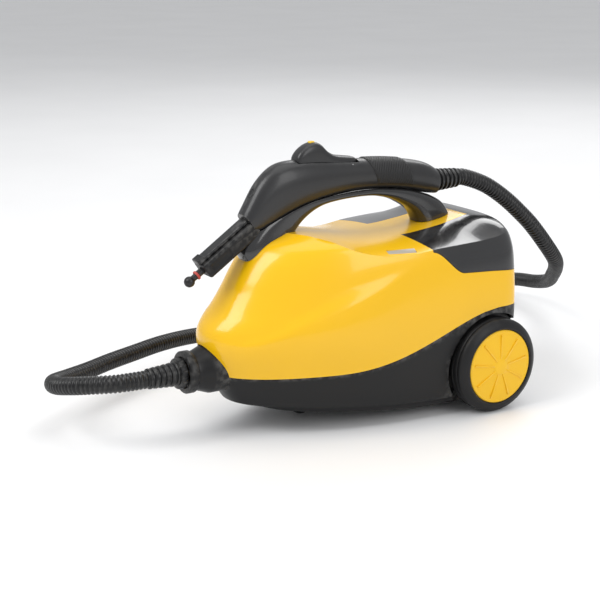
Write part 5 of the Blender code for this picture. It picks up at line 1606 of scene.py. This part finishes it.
@dataclass
class SteamHose:
    """The corrugated hose from the nose to the gun, with its nut and strain reliefs."""

    palette: Palette
    diameter: float = 0.020
    pitch: float = 0.0046
    groove: float = 0.0011
    sleeve_length: float = 0.032
    nose: tuple[float, float, float] = (0.0, -0.2408, 0.074)
    tail: tuple[float, float, float] = (0.0, 0.1675, 0.2535)
    nut_front: float = -0.1993
    route: tuple = (
        (-3, -276, 74), (-14, -296, 73), (-34, -311, 69), (-64, -318, 62), (-98, -308, 54), (-126, -281, 47),
        (-147, -247, 44), (-168, -209, 43), (-187, -169, 42), (-206, -128, 41), (-226, -86, 37),
                    (-247, -43, 30),
        (-268, 0, 20), (-288, 45, 12), (-306, 92, 10), (-320, 140, 10), (-331, 190, 10), (-340, 240, 10),
        (-347, 290, 10), (-349, 340, 10), (-345, 388, 10), (-332, 430, 13), (-310, 462, 19), (-281, 480, 26),
        (-245, 486, 33), (-203, 479, 40), (-160, 461, 52), (-122, 436, 67), (-90, 411, 83), (-50, 379, 105),
        (-18, 348, 127), (-5, 320, 152), (0, 290, 182), (0, 268, 202), (0, 245, 220.5), (0, 219, 237.5),
        (0, 198, 247))

    def centre_line(self) -> list[Vector]:
        """The hose's path with even steps, from the nose to the gun."""
        straight = Vector((0, 0.012, 0))
        nose, tail = Vector(self.nose), Vector(self.tail)
        stops = [nose, nose - 0.8 * straight, *(Vector(p) * MM for p in self.route), tail + 0.8 * straight,
                 tail]
        rough = [Vector(p) for p in spline([tuple(p) for p in stops], 24)]
        floor = self.diameter / 2 + 0.0001
        rough = [Vector((p.x, p.y, max(p.z, floor))) for p in rough]
        runs = [0.0]
        for a, b in zip(rough, rough[1:]):
            runs.append(runs[-1] + (b - a).length)
        steps = int(runs[-1] / self.pitch) * 8
        line, k = [], 0
        for n in range(steps + 1):
            at = runs[-1] * n / steps
            while k < len(runs) - 2 and runs[k + 1] < at:
                k += 1
            line.append(rough[k].lerp(rough[k + 1], (at - runs[k]) / (runs[k + 1] - runs[k])))
        return line

    def build_tube(self) -> bpy.types.Object:
        """Skin the corrugated tube along its path."""
        line = self.centre_line()
        side = Vector((1, 0, 0))
        rings, count = [], 24
        for n, point in enumerate(line):
            ahead = (line[min(n + 1, len(line) - 1)] - line[max(n - 1, 0)]).normalized()
            side = (side - ahead * side.dot(ahead)).normalized()
            up = ahead.cross(side)
            wave = 0.5 - 0.5 * math.cos(math.tau * n / 8)
            radius = self.diameter / 2 - self.groove * wave**1.6
            rings.append([point + (side * math.cos(t) + up * math.sin(t)) * radius
                          for t in (math.tau * i / count for i in range(count))])
        tube = skin("steam_line", rings, degrees=60)
        self.palette.dress(tube, Finish.HOSE, "machine_base", "steam_hose")
        self.length = sum((b - a).length for a, b in zip(line, line[1:]))
        self.path = [tuple(p) for p in line[::4]] + [tuple(line[-1])]
        return tube

    def sleeve(self, name: str, sign: int, place: Sequence[float], node: str) -> bpy.types.Object:
        """Turn a tapered, ribbed strain relief."""
        ribs, big, small = 5, 0.0135, 0.0112
        profile = [(0.007, 0.0), (0.0129, 0.0), (big, 0.0006)]
        for k in range(ribs):
            at = self.sleeve_length * (k + 0.35) / ribs
            radius = mix(big, small, (k + 0.5) / ribs)
            step = self.sleeve_length / ribs
            profile += [(radius, at - 0.08 * step), (radius - 0.0004, at),
                        (radius - 0.0018, at + 0.08 * step),
                        (radius - 0.0019, at + 0.36 * step), (radius - 0.0004, at + 0.46 * step),
                        (radius, at + 0.54 * step)]
        end, over, lip = self.sleeve_length, 0.0010, self.diameter / 2 + 0.0007
        profile += [(small, end + over - 0.0003), (small - 0.0003, end + over), (lip, end + over),
                    (lip, end + 0.0008), (0.007, end + 0.0008)]
        piece = lathe(name, [(radius, sign * y) for radius, y in profile], 64, Axis.Y, place, 40)
        return self.palette.dress(outward(piece), Finish.HOSE, "machine_base", node)

    def build_nut(self) -> bpy.types.Object:
        """Turn the union nut and flute its rim."""
        r, seat, deep = 0.017, 0.0093, 0.008
        profile = [(0.007, -deep), (r - 0.0014, -deep), (r - 0.0003, -deep + 0.0006), (r, -deep + 0.0014),
                   (r, -0.0014), (r - 0.0003, -0.0006), (r - 0.0014, 0.0), (seat, 0.0), (seat, -0.003),
                   (0.007, -0.003)]
        nut = lathe("union_nut", profile, 96, Axis.Y, (0, self.nut_front, self.nose[2]))
        for k in range(16):
            angle = math.tau * k / 16
            reach = r + 0.0004
            place = (math.cos(angle) * reach, self.nut_front, self.nose[2] + math.sin(angle) * reach)
            carve(nut, drill("flute", 0.0011, -0.012, 0.002, Axis.Y, place, 16))
        return self.palette.dress(nut, Finish.TUB_BLACK, "machine_base", "hose_nut")

    def build(self) -> None:
        tube = self.build_tube()
        front = self.nut_front - 0.0083
        pieces = [self.sleeve("relief_nose", -1, (0, front, self.nose[2]), "hose_sleeve_nose"),
                  self.sleeve("relief_gun", 1, (0, 0.1343, self.tail[2]), "hose_sleeve_gun"),
                  self.build_nut()]
        log.info("hose length %.3f m", self.length)


# --- all ---------------------------------------------------------------------------------


def main() -> None:
    """Build the studio, then every sub-assembly."""
    studio = Studio()
    studio.place_camera()
    palette = Palette()
    SteamHose(palette).build()
    form = BodyForm()
    Housing(form, palette).build()
    for side, sign in (("left", -1), ("right", 1)):
        RearWheel(side, sign, palette).build()
    Underside(palette).build()
    UnderLid(palette).build()
    handle, gun = CarryHandle(form, palette), SteamGun(palette)
    handle.build(gun)
    gun.build(handle)
    studio.lay_floor()
    studio.light_up()


if __name__ == "__main__":
    main()
